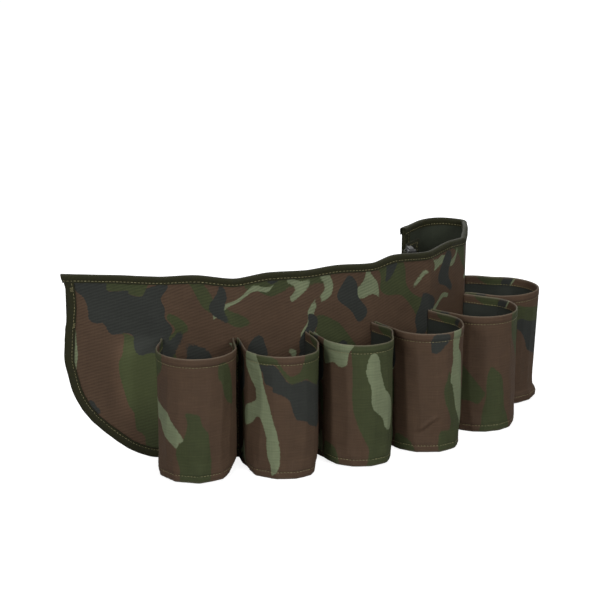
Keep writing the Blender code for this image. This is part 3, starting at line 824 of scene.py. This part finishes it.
def make_panel(k):
    """One section of the back panel: printed cloth in front, lining behind, split at the pockets' middles."""
    name = section_names[k]
    low, high = section_ends(k)
    columns = spaced(low + (edge_inset if k == 0 else 0), high - (edge_inset if k == 6 else 0), 1.5)
    share = np.linspace(0, 1, 100)
    foot = inset_foot(columns, edge_inset)
    top = panel_height - edge_inset
    replaced = [f"{kind}_{n}" for kind in ("panel", "lining") for n in (k, k + 1) if 1 <= n <= 6]
    if k in (0, 6):
        side = "left" if k == 0 else "right"
        replaced += [f"{side}_wing_panel", f"{side}_wing_lining", f"{side}_wing_seam"]
    else:
        replaced.append(f"seam_{k}")

    def height(i, j):
        return foot[i] + (top - foot[i]) * share[j]

    def dimple(s, z):
        """Shallow wrinkles that run out from the sewn lines, and slack in the wings."""
        near = np.minimum.reduce([np.abs(s - n * pitch) for n in range(7)])
        pulls = 0.16 * np.exp(-near / 9) * np.sin(z / 5.3 + 1.3 * np.sin(z / 17) + s * 0.2)
        sewn = smooth((z - wing_foot(s) - 8) / 22) * smooth((panel_height - 8 - z) / 26)
        left = smooth((-s - 3) / 22) * smooth((s + 76) / 18)
        swell = 1.7 * np.exp(-((s + 33) / 17) ** 2 - ((z - 84) / 44) ** 2)
        folds = 0.55 * np.sin((s * 0.9 + z * 0.5) / 9.5 + 1.1) + 0.4 * np.sin((s - z * 0.8) / 13 + 0.4)
        right = 0.3 * smooth((s - row_end - 20) / 20) * np.sin(s / 9) * np.sin(z / 21)
        return pulls - (swell + folds) * left * sewn + right * sewn

    for kind, depth, materials, flip in (
        ("cloth", -cloth_depth, (panel_camouflage, lining), False),
        ("lining", cloth_depth, (lining,), True),
    ):
        def lay(i, j):
            s, z = columns[i], height(i, j)
            return on_row(s, depth + dimple(s, z), z)

        def printed_fields(x, z):
            fields = pattern(x, z, wing_print if k == 0 else {}, -99, 2)
            if k == 0:
                # Painted light: the cloth is made paler where the wing runs in to the first pocket, where
                # light falls on it
                along = smooth((x + 48) / 24) * smooth((22 - x) / 20)
                fields["faded"] = along * smooth((118 - z) / 22) * smooth((z - 12) / 55)
            return fields

        obj = cloth(
            f"panel_{kind}_{name}", columns, share, lay, lambda i, j: (columns[i], height(i, j)), materials,
            cloth_thickness, fields=printed_fields if kind == "cloth" else None, flip=flip,
        )
        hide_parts(*replaced)
        bend(obj)

    # The pockets' side seams show on the lining
    lines = []
    for number, side in ((k, 1), (k + 1, -1)):
        if 1 <= number <= 6:
            z = spaced(seam_low, seam_high, seam_stitch)
            s = np.full_like(z, (number - 0.5) * pitch + side * side_seam)
            outside = cloth_depth + dimple(s, z) + cloth_thickness / 2 + thread_lift
            points = on_row(s, outside, z)
            lines.append((points, on_row(s, outside + 1, z) - points, bead_share))
    beads = stitches(f"seam_thread_{name}", lines)
    bend(beads)


# Binding tape
# The tape's front face from its inner edge to its fold on the cloth's edge: how far in, how deep
front_face = [
    (9.5, -2.12), (8.7, -2.14), (8.0, -2.02), (7.4, -1.88), (6.8, -2.02), (5.6, -2.16), (4.2, -2.2),
    (2.8, -2.18), (1.7, -2.05), (0.95, -1.7), (0.52, -1.2), (0.38, -0.6), (0.34, 0.0),
]
fold_profile = front_face + [(inset, -depth) for inset, depth in reversed(front_face[:-1])]
tape_insets, tape_depths = np.array(fold_profile).T
tape_across = run_of(fold_profile)
tape_share = {"bottom": 1.0, "top": 0.74}


def edge_path(k):
    """A section's lower edge (round the wing's end too) as distance and height, evenly spaced."""
    low, high = section_ends(k)
    if k not in (0, 6):
        s = spaced(low, high, tape_step)
        return np.stack([s, np.zeros_like(s)], -1)
    inner = high if k == 0 else low
    angle = np.linspace(0, math.pi / 2, 400)
    out = wing_bottom_run + (wing_length - wing_bottom_run) * np.sin(angle)
    s = -out if k == 0 else row_end + out
    end = low if k == 0 else high
    dense = np.stack([s, wing_foot(s)], -1)
    dense = np.concatenate([[(inner, 0.0)], dense, [(end, panel_height - 0.6)]])
    run = run_of(dense)
    even = spaced(0, run[-1], tape_step)
    path = np.stack([np.interp(even, run, dense[:, 0]), np.interp(even, run, dense[:, 1])], -1)
    return path if k == 6 else path[::-1]


def make_binding(k):
    """The folded tape round a section's edges, with its stitches. The top tape laps over the wing's end."""
    name = section_names[k]
    low, high = section_ends(k)
    rng = random.Random(400 + k)
    s = spaced(low + (-0.6 if k == 0 else 0), high + (0.6 if k == 6 else 0), tape_step)
    top = np.stack([s, np.full_like(s, panel_height)], -1)[::-1]
    for place, path in (("bottom", edge_path(k)), ("top", top)):
        tangent = np.gradient(path, axis=0)
        tangent /= np.linalg.norm(tangent, axis=1)[:, None]
        inward = np.stack([-tangent[:, 1], tangent[:, 0]], -1)
        run = run_of(path)
        phase = rng.uniform(0, 6)
        lapped = np.zeros(len(path))
        if place == "top" and k in (0, 6):
            lap_from = wing_length - 11
            beyond = np.maximum(-s[::-1] - lap_from, s[::-1] - row_end - lap_from)
            lapped = smooth(beyond / 4) * 0.75

        def lay(i, j):
            inset, depth = tape_insets[j], tape_depths[j]
            inset = inset * (1 - (1 - tape_share[place]) * smooth(inset / 4))
            free = smooth((inset - 3) / 6)
            pucker = 0.1 * free * np.sin(run[i] * 1.9 + phase + 1.5 * np.sin(run[i] / 7))
            ripple = 0.16 * free * np.sin(run[i] / 5.2 + phase * 2)
            wander = 0.22 * free * np.sin(run[i] / 9 + phase)
            depth = depth + np.sign(depth) * (pucker + ripple * 0.5 + lapped[i])
            at = path[i] + inward[i] * (inset + wander)[:, None]
            return on_row(at[:, 0], depth, at[:, 1])

        obj = cloth(
            f"binding_{place}_{name}", run, tape_insets, lay, lambda i, j: (run[i], tape_across[j]), (tape,),
            binding_cloth,
        )
        replaced = [f"{place}_binding_{n}" for n in (k, k + 1) if 1 <= n <= 6]
        if k in (0, 6):
            replaced.append(("left" if k == 0 else "right") + "_wing_binding")
        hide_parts(*replaced)
        bend(obj)

        count = int(run[-1] / tape_stitch)
        at = np.linspace(0.3, run[-1] - 0.3, count)
        lines = []
        for face in (-1, 1):
            inset = stitch_inset * tape_share[place]
            spot = np.stack([np.interp(at, run, path[:, c] + inward[:, c] * inset) for c in (0, 1)], -1)
            lift = np.interp(at, run, lapped)
            out = face * (stitch_depth + binding_cloth / 2 + tape_thread_lift + lift)
            points = on_row(spot[:, 0], out, spot[:, 1])
            base = on_row(spot[:, 0], 0.0, spot[:, 1])
            lines.append((points, points - base, 0.74))
        beads = stitches(f"binding_thread_{place}_{name}", lines)
        bend(beads)


# Pockets
# The pocket wall from above, from foot to foot, with a turned-out edge sewn to the panel
def wall_path():
    foot, depth = -pocket_foot, foot_depth
    points = [
        (-32.3, depth), (-31.9, depth), (foot - 0.9, depth), (-30.95, depth - 0.15), (foot, depth - 0.9),
    ]
    start, end = np.array([foot, depth]), np.array([-pocket_radius, pocket_centre])
    points += [tuple(start + (end - start) * t) for t in np.linspace(0.06, 0.98, 16)]
    angles = np.radians(np.linspace(180, 270, 40))
    points += [(pocket_radius * math.cos(a), pocket_centre + pocket_radius * math.sin(a)) for a in angles]
    points = np.array(points)
    points = np.concatenate([points, points[-2::-1] * (-1, 1)])
    return points, run_of(points) - turned_edge


wall_points, wall_run = wall_path()
wall_end = float(wall_run[-1]) - turned_edge

# The wall from bottom to rim and down inside the fold: how far round the cloth, how far out, how high
hem_rows = [
    (-3.4, -3.2, 0.75), (-2.4, -2.2, 0.6), (-1.5, -1.2, 0.5), (-0.8, -0.4, 0.62), (-0.2, 0.1, 1.1),
    (0.8, 0.32, 1.9), (2.0, 0.42, 3.0), (3.2, 0.45, 4.2), (4.4, 0.42, 5.2), (5.4, 0.25, 5.9),
    (6.1, 0.02, 6.4), (6.7, 0.12, 6.9), (7.4, 0.16, 7.6), (8.6, 0.02, 8.8),
]
wall_rows = [(z, 0.0, z) for z in np.linspace(10.0, 99.6, 76)]
rim_rows = [
    (100.9, 0.0, 100.9), (101.9, 0.02, 101.9), (102.6, 0.0, 102.6), (103.1, -0.08, 103.1),
    (103.7, 0.12, 103.7), (104.4, 0.38, 104.4), (105.6, 0.45, 105.6), (107.0, 0.45, 107.0),
    (108.4, 0.44, 108.4), (109.5, 0.4, 109.5), (110.1, 0.28, 110.1), (110.5, 0.0, 110.36),
    (110.9, -0.28, 110.1), (111.5, -0.42, 109.5), (113.0, -0.46, 108.0), (115.0, -0.46, 106.0),
    (117.0, -0.45, 104.0), (118.2, -0.4, 102.8), (118.9, -0.3, 102.2),
]
pocket_rows = np.array(hem_rows + wall_rows + rim_rows)

# Where each pocket's cloth bends at the bottom
bottom_corners = {
    1: (36, 48, 69, 91, 114, 130, 146),
    2: (36, 50, 71, 88, 104, 120, 138),
    3: (36, 51, 66, 82, 99, 114, 132),
    4: (40, 56, 78, 96, 112, 128, 144),
    5: (34, 47, 58, 72, 86, 102, 118),
    6: (42, 54, 70, 86, 102, 120, 140),
}
# How its lower corners are tucked in: place, reach, depth, height
tucks = {
    1: ((141, 17, 4.6, 9), (35, 9, 1.0, 8)),
    2: ((130, 16, 4.6, 13), (33, 11, 3.4, 11)),
    3: ((125, 15, 3.4, 12), (34, 10, 1.6, 8)),
    4: ((119, 16, 3.4, 22),),
    5: ((107, 14, 1.2, 8),),
    6: ((90, 12, 0.4, 8),),
}
# Where a lower corner is lifted: place, reach, height
lifts = {
    1: (138, 20, 2.2), 2: (126, 16, 1.2), 3: (121, 14, 1.2), 4: (116, 12, 0.8), 5: (108, 12, 0.3),
    6: (90, 12, 0.6),
}
# Where a side is drawn flatter than round: place, reach, depth
pulls = {
    1: ((35, 14, 0.2), (124, 20, 1.0)),
    2: ((131, 17, 4.9), (42, 22, -0.8)),
    3: ((125, 17, 5.6),),
    4: ((120, 16, 2.0),),
    5: ((108, 16, 0.9),),
    6: ((91, 16, -1.6),),
}
# How much higher or lower than cut each pocket's front hangs, at the bottom and at the rim
hangs = {1: (1.2, 1.9), 2: (0.3, 0.2), 3: (1.6, 2.0), 4: (0.7, 0.7), 5: (0.2, 0.1), 6: (0.8, -1.7)}
# How far round each pocket the photograph shows its print
last_seen = {1: 138, 2: 134, 3: 126, 4: 124, 5: 112, 6: 98}


def chords(u, corners, share):
    """How far flat stretches of cloth between folds lie inside the round."""
    depth = np.zeros_like(u)
    for a, b in zip(corners, corners[1:]):
        inside = (u >= a) & (u < b)
        half = (b - a) / 2
        across = (u[inside] - (a + b) / 2) / half
        depth[inside] = (1 - across**2) * half**2 / (2 * pocket_radius)
    return depth * share


def pocket_shape(number):
    """Inward moves of the pocket's wall at cloth places u and heights z."""
    rng = random.Random(60 + number)
    corners, u = [], 34.5 - rng.uniform(0, 8)
    while u < 150:
        corners.append(u)
        u += rng.uniform(9.5, 17.5)
    limits = ((5, 14), (14, 60), (0, 6.3), (-0.8, 0.8))
    waves = [[rng.uniform(*ends) for ends in limits] for _ in range(6)]
    foot = bottom_corners[number]

    def shape(u, z):
        round_part = smooth((u - 26) / 10) * smooth((wall_end - 26 - u) / 10)
        upright = smooth((z - 6) / 14) * (1 - 0.75 * smooth((z - 88) / 14))
        drift = 2.2 * np.sin(z / 26 + number)
        inward = chords(u + drift, corners, 1.0) * upright * round_part
        low = 1 - smooth(z / 34)
        inward = inward + chords(u + 0.12 * z, foot, 0.95) * low * round_part
        slack = sum(np.sin(u / a + z / b + c + d * np.sin(z / 15)) for a, b, c, d in waves)
        inward = inward + (0.3 + 0.1 * slack) * upright
        for centre, wide, deep in pulls[number]:
            inward = inward + deep * hump(u, centre, wide)
        for centre, wide, deep, tall in tucks[number]:
            inward = inward + deep * hump(u, centre, wide) * (1 - smooth(z / (tall * 1.25)))
            # Small folds run out from the tucked corner
            across, up = u - centre, z + 5
            reach = np.hypot(across, up)
            fan = np.arctan2(up, across) * 6.5 + 0.09 * reach + number
            rays = 0.16 * deep * (0.6 + np.cos(fan) ** 3)
            inward = inward + rays * hump(reach, 0, 9 + tall) * (z > 0.4)
        ripples = np.sin(u / 2.9 + z / 1.9 + 2 * np.sin(u / 11 + number))
        crumple = 0.25 * ripples * (1 - smooth(z / 12)) * round_part
        inward = inward + np.abs(crumple) * (z > 0.3)
        if number == 4:
            # A pulled fold that runs up from the left of the front
            start, along = (55.2, 19.2), np.array([22.0, 16.7])
            length = np.hypot(*along)
            along = along / length
            t = (u - start[0]) * along[0] + (z - start[1]) * along[1]
            off = (z - start[1]) * along[0] - (u - start[0]) * along[1]
            fade = smooth(t / 6) * smooth((length - t) / 9)
            inward = inward - 1.3 * fade * hump(off, 0, 1.6) + 1.2 * fade * hump(off, -3.4, 2.2)
        if number == 6:
            inward = inward + 2.4 * smooth((100 - z) / 90) * smooth((z - 6) / 6) * round_part
        return np.maximum(inward, -1.5)

    def lift(u, z):
        centre, wide, tall = lifts[number]
        bottom, rim = hangs[number]
        front = smooth((u - 6) / 26) * smooth((wall_end - 6 - u) / 26)
        hang = (bottom + (rim - bottom) * z / pocket_height) * front
        return hang + tall * hump(u, centre, wide) * (1 - smooth(z / 26))

    return shape, lift


def wall_at(u):
    return np.interp(u, wall_run, wall_points[:, 0]), np.interp(u, wall_run, wall_points[:, 1])


def on_wall(number, shape, lift, u, out, z):
    """World points of the pocket's cloth."""
    step = 0.6
    x, y = wall_at(u)
    (x0, y0), (x1, y1) = wall_at(u - step), wall_at(u + step)
    tx, ty = x1 - x0, y1 - y0
    size = np.hypot(tx, ty)
    out = out * smooth((u + 0.4) / 1.6) * smooth((wall_end + 0.4 - u) / 1.6) - shape(u, z)
    return on_pocket(number, x + ty / size * out, y - tx / size * out, z + lift(u, z))


def fold_wear_light_and_shade_at(v):
    """Where the cloth is paler at its folds (rim and bottom), partly worn from folding and partly a painted
    highlight, and darker beside its stitches, which is painted shade.
    """
    pale = hump(v, 110.7, 0.7) + 0.5 * hump(v, 0.1, 0.7)
    return pale - 0.5 * hump(v, 104.6, 1.2) - 0.4 * hump(v, 7.6, 1.0)


def make_pocket(number):
    shape, lift = pocket_shape(number)
    flat = [-turned_edge, -0.9, -0.45, 0.0, 0.5]
    middle = spaced(turned_edge, wall_end - turned_edge, 1.25)
    columns = np.array(flat + list(middle) + [wall_end - v for v in flat[::-1]])
    v, out, z = pocket_rows.T

    def lay(i, j):
        return on_wall(number, shape, lift, columns[i], out[j], z[j])

    def printed_fields(x, z):
        # Fold fields: paler folds, partly wear and partly painted highlight, and painted shade beside the
        # stitches
        return {**pattern(x, z, pocket_print[number], 32, last_seen[number]), "pressed": fold_wear_light_and_shade_at(z)}

    body = f"pocket_{number}"
    obj = cloth(
        f"pocket_cloth_{number}", columns, v, lay, lambda i, j: (columns[i], v[j]), (camouflage, coating),
        pocket_cloth, fields=printed_fields,
    )
    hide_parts(body)
    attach(obj, body)

    share = np.concatenate(([0.0], np.linspace(0.06, 1, 26)))
    around = spaced(1.1, wall_end - 1.1, 2.5)
    # The first and last columns are the back edge, turned up against the panel
    around = np.concatenate((around[:1], around, around[-1:]))
    turned_up = np.zeros_like(around)
    turned_up[[0, -1]] = 1

    def floor(i, j):
        x, y = wall_at(around[i])
        edge = 1 - (1.0 + shape(around[i], np.full(len(i), 1.5))) / floor_reach
        x, y = x * edge * share[j], floor_depth + (y - floor_depth) * edge * share[j]
        sag = 0.35 * np.sin(x / 7 + number) * np.sin(y / 9) * (1 - share[j])
        lifted = lift(around[i], np.zeros(len(i))) * share[j] ** 3
        rise = 1.65 + 0.9 * smooth((share[j] - 0.8) / 0.2) + sag + lifted
        return on_pocket(number, x, y - 0.3 * turned_up[i], rise + 1.7 * turned_up[i])

    base = cloth(
        f"pocket_floor_{number}", around, share, floor,
        lambda i, j: (around[i] * share[j], share[j] * floor_reach), (lining,), 0.8, weld=True, flip=True,
    )
    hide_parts(f"pocket_base_{number}")
    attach(base, body)

    # The rim's stitches outside and in, and the hem's
    lines = []
    u = spaced(1.5, wall_end - 1.5, pocket_stitch)
    for height, out_at, face in ((103.1, -0.08, 1), (103.0, -0.44, -1), (6.4, 0.02, 1)):
        heights = np.full_like(u, height)
        points = on_wall(number, shape, lift, u, out_at + face * (pocket_cloth / 2 + thread_lift), heights)
        lines.append((points, points - on_wall(number, shape, lift, u, out_at, heights), bead_share))
    heights = spaced(seam_low, seam_high, seam_stitch)
    depth = foot_depth - pocket_cloth / 2
    for side in (-1, 1):
        points = on_pocket(number, side * side_seam, depth - thread_lift, heights)
        lines.append((points, on_pocket(number, side * side_seam, -3.1, heights) - points, bead_share))
        # A bar tack at the rim
        for tack in np.linspace(105.2, 109.2, 5):
            points = on_pocket(number, np.array([side * 31.2, side * 32.4]), depth - 2 * thread_lift,
                               np.array([tack, tack + 0.5]))
            facings = on_pocket(number, side * 31.8, -3.0, np.array([tack, tack])) - points
            lines.append((points, facings, 0.95))
    beads = stitches(f"pocket_thread_{number}", lines)
    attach(beads, body)


# Straps and buckle
loop_radius = math.hypot(bar_size / 2, bar_size / 2) + clearance + webbing_depth / 2
layer_pitch = webbing_depth + clearance
first_layer = (clearance + webbing_depth) / 2


def strap_place(side):
    """The hinge of a strap: its place and heading, from its joint and its buckle's joint."""
    if side == "left":
        start, bar, local = joint_at("left_strap_unfold"), joint_at("socket_tilt"), left_bar
    else:
        start, bar = joint_at("right_strap_swing"), joint_at("plug_tilt")
        local = (right_bar_reach, -loop_radius)
    world = bar - start
    return start, math.atan2(world[1], world[0]) - math.atan2(local[1], local[0])


def arc(centre, radius, start_deg, end_deg, steps):
    angles = [math.radians(start_deg + (end_deg - start_deg) * i / steps) for i in range(steps + 1)]
    return [(centre[0] + radius * math.cos(a), centre[1] + radius * math.sin(a)) for a in angles]


def loop_round_bar(bar, leg, tail_end):
    """The strap's turn round a buckle's bar, and the tail that lies back on its own first leg."""
    x, y = bar
    near, far, last = y - loop_radius, y + loop_radius, leg + layer_pitch
    early, late = (x - loop_radius * share for share in (2.0, 3.0))
    points = [(x, near)] if abs(near - leg) < 0.01 else [(early, leg), (x, near)]
    points += arc(bar, loop_radius, -90, 90, 14)[1:]
    back = bar_size / 2
    drop = far + (last - far) * 0.67
    return points + [(x - back, far), (early - back, drop), (late - back, last), (tail_end, last)]


def left_strap_path():
    path = [(1.5, first_layer)]
    for layer, (x, end) in enumerate(((far_fold, 90), (near_fold, -270), (far_fold, 90))):
        depth = first_layer + layer * layer_pitch
        path += arc((x, depth + layer_pitch / 2), layer_pitch / 2, -90, end, 10)
    last = first_layer + 3 * layer_pitch
    leg = left_bar[1] - loop_radius
    path += arc((near_fold, (last + leg) / 2), (leg - last) / 2, -90, -270, 12)
    return path + loop_round_bar(left_bar, leg, near_fold)


def right_strap_path():
    path = [(0, 0), *loop_round_bar((right_bar_reach, loop_radius), 0, 8.0)]
    return [(x, -y) for x, y in path]


# The heights of a strap's rows
band_heights = np.array([
    strap_low, strap_low + 0.5, *spaced(strap_low + 1.6, strap_high - 1.6, 2.4), strap_high - 0.5, strap_high,
])


def strip(name, path, place, heading):
    """A strap that follows a path seen from above."""
    path = np.array(path, float)
    run = run_of(path)
    even = sorted(set(np.round(run, 4)) | set(np.round(spaced(0, run[-1], 1.3), 4)))
    kept = [even[0]]
    for value in even[1:]:
        if value - kept[-1] > 0.12:
            kept.append(value)
    along = np.array(kept)
    px, py = np.interp(along, run, path[:, 0]), np.interp(along, run, path[:, 1])

    def lay(i, j):
        return from_place(place, heading, px[i], py[i], band_heights[j])

    return cloth(
        name, along, band_heights, lay, lambda i, j: (along[i], band_heights[j] - strap_low), (webbing,),
        strap_cloth,
    )


def make_strap_fold(place, heading, first):
    """The turn of the left strap at the wing's edge, from its sewn end to its first leg."""
    sewn = on_row_plain(-anchor_ends["left"][0], anchor_depth, strap_height)[:2] / mm
    x, y = turned(-heading, *(sewn - place))
    radius = (first[1] - y) / 2
    path = [(x, y), *arc((1.0, y + radius), radius, -90, -270, 12), first]
    fold = strip("strap_fold_left", path, place, heading)
    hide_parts("left_strap")
    ends = [tuple(from_place(place, heading, 0.5, depth, strap_height)) for depth in (y, first[1])]
    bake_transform(fold)


def make_straps():
    for side, path in (("left", left_strap_path()), ("right", right_strap_path())):
        place, heading = strap_place(side)
        strap = strip(f"waist_strap_{side}", path, place, heading)
        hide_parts(f"{side}_strap")
        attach(strap, f"{side}_strap")
        if side == "left":
            make_strap_fold(place, heading, path[0])
        # The tail is sewn down on the first leg
        tail = 12.0 if side == "left" else 13.0
        depth = path[-1][1]
        face = (1 if side == "left" else -1) * (strap_cloth / 2 + tape_thread_lift)
        lines = []
        for x in (tail, tail + 3.0):
            heights = spaced(strap_low + 3, strap_high - 3, strap_stitch)
            points = from_place(place, heading, x, depth + face, heights)
            facing = (*turned(heading, 0.0, face), 0.0)
            lines.append((points, np.tile(facing, (len(points), 1)), bead_share))
        beads = stitches(f"strap_thread_{side}", lines)
        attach(beads, f"{side}_strap")

        # The strap's sewn end on the wing's lining
        stops = spaced(*anchor_ends[side][::-1], 1.6)
        s = -stops[::-1] if side == "left" else row_end + stops

        def lay(i, j):
            return on_row_plain(s[i], anchor_depth, band_heights[j])

        patch = cloth(
            f"strap_anchor_{side}", s, band_heights, lay, lambda i, j: (s[i], band_heights[j] - strap_low),
            (webbing,), strap_cloth, flip=True,
        )
        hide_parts(f"{side}_strap_anchor")
        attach(patch, f"{side}_wing")
        # A sewn box with a cross in it
        s0, s1, z0, z1 = s.min() + 3, s.max() - 3, strap_low + 3, strap_high - 3
        box = [(s0, z0), (s1, z0), (s1, z1), (s0, z1), (s0, z0), (s1, z1)]
        lines = []
        for (sa, za), (sb, zb) in [*zip(box, box[1:]), ((s0, z1), (s1, z0))]:
            t = np.linspace(0, 1, max(3, int(math.hypot(sb - sa, zb - za) / strap_stitch)))
            along, up = sa + (sb - sa) * t, za + (zb - za) * t
            points = on_row_plain(along, anchor_depth + strap_cloth / 2 + tape_thread_lift, up)
            lines.append((points, points - on_row_plain(along, anchor_depth, up), bead_share))
        beads = stitches(f"anchor_thread_{side}", lines)
        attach(beads, f"{side}_wing")


def middle_of(node):
    low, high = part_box(node)
    return (np.array(low) + np.array(high))[:2] / 2 / mm


def make_keeper():
    """The elastic band round the folded strap."""
    place, heading = middle_of("strap_keeper"), left_heading
    grow = clearance + 0.5
    across, tall = keeper_stack / 2 + grow, strap_width / 2 + grow
    side = np.linspace(-tall + 2, tall - 2, 16)
    ring = []
    for right, up, start in ((1, -1, -90), (1, 1, 0), (-1, 1, 90), (-1, -1, 180)):
        centre = right * (across - keeper_round), up * (tall - keeper_round)
        ring += arc(centre, keeper_round, start, start + 90, 5)
        if right != up:
            ring += [(right * across, y) for y in side * right]
    ring.append(ring[0])
    ring = np.array(ring)
    run = run_of(ring)
    widths = np.concatenate(([-7.5, -7.1], spaced(-6.0, 6.0, 1.2), [7.1, 7.5]))

    def lay(i, j):
        return from_place(place, heading, widths[j], ring[i, 0], strap_height + ring[i, 1])

    band = cloth(
        "elastic_keeper", run, widths, lay, lambda i, j: (widths[j], run[i]), (elastic,), 0.95, weld=True,
        flip=True,
    )
    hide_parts("strap_keeper")
    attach(band, "keeper")


def make_wing_tacks():
    """The bar tacks that hold the tape at the left wing's end."""
    lines = []
    for low, high, left, right in ((117.0, 121.5, -77.6, -75.4), (151.0, 155.0, -80.5, -76.5)):
        heights = np.linspace(low, high, 6)
        zigzag = np.where(np.arange(6) % 2 == 0, left, right)
        points = on_row(zigzag, -2.62, heights)
        lines.append((points, points - on_row(zigzag, -1.0, heights), 0.98))
    beads = stitches("wing_end_tacks", lines, width=0.45, height=0.45)
    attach(beads, "left_wing")


for section in range(7):
    make_panel(section)
    make_binding(section)
for pocket in range(1, 7):
    make_pocket(pocket)
make_straps()
make_keeper()
make_wing_tacks()

for node in ("buckle_socket", "buckle_plug", "upper_prong", "lower_prong"):
    mesh = frame["nodes"][node].data
    mesh.materials.clear()
    mesh.materials.append(plastic)


# Floor, light and camera
def make_stage():
    bm = bmesh.new()
    bmesh.ops.create_grid(bm, x_segments=1, y_segments=1, size=6)
    made, n, shader = finish("white table")
    place = n.object_place()
    n.feed(shader["Base Color"], n.mix(n.noise(place, 3.0), (0.45, 0.45, 0.45, 1), (0.43, 0.43, 0.43, 1)))
    shader["Roughness"].default_value = 0.9
    shader["Specular IOR Level"].default_value = 0.1
    away = n.add("ShaderNodeVectorMath", operation="LENGTH", inputs={0: place}).outputs["Value"]
    seen = n.add("ShaderNodeLightPath").outputs["Is Camera Ray"]
    n.feed(shader["Emission Color"], (1, 1, 1, 1))
    n.feed(shader["Emission Strength"], n.math("MULTIPLY", seen, n.span(away, 0.3, 0.9, 0.86, 0.99)))
    floor = new_object("floor", mesh_of("floor", bm), made)


def make_world():
    world = bpy.data.worlds.new("studio")
    world.use_nodes = True
    bpy.context.scene.world = world
    n = Nodes(world.node_tree)
    background = world.node_tree.nodes["Background"]
    path = n.add("ShaderNodeLightPath").outputs
    mirrored = n.math("MAXIMUM", path["Is Glossy Ray"], path["Is Transmission Ray"])
    seen = n.math("MAXIMUM", path["Is Camera Ray"], mirrored)
    n.feed(background.inputs["Color"], (1, 1, 1, 1))
    n.feed(background.inputs["Strength"], n.span(seen, 0.0, 1.0, 0.12, 1.0))


def make_lamp(name, place, target, size, power):
    lamp = bpy.data.lights.new(name, "AREA")
    lamp.shape = "DISK"
    lamp.size = size
    lamp.energy = power
    obj = new_object(name, lamp)
    obj.location = place
    obj.rotation_euler = (Vector(target) - Vector(place)).to_track_quat("-Z", "Y").to_euler()


def make_camera():
    camera = bpy.data.cameras.new("camera")
    camera.lens = 117.3
    camera.sensor_width = 36
    obj = new_object("camera", camera)
    obj.location = (-0.0104, -1.70622, 0.603)
    obj.rotation_euler = (math.radians(74.3), 0, 0)
    bpy.context.scene.camera = obj


make_stage()
make_world()
make_lamp("left softbox", (-0.85, -1.6, 0.85), (0, 0, 0.08), 0.7, 15)
make_lamp("right softbox", (0.95, -1.55, 0.85), (0, 0, 0.08), 0.8, 17.5)
make_lamp("back softbox", (-0.4, 1.5, 1.1), (0, 0, 0.08), 0.8, 16)
make_lamp("top softbox", (0.1, -0.2, 1.7), (0, 0, 0.1), 0.6, 9)
make_camera()
bpy.context.scene.view_settings.view_transform = "Standard"
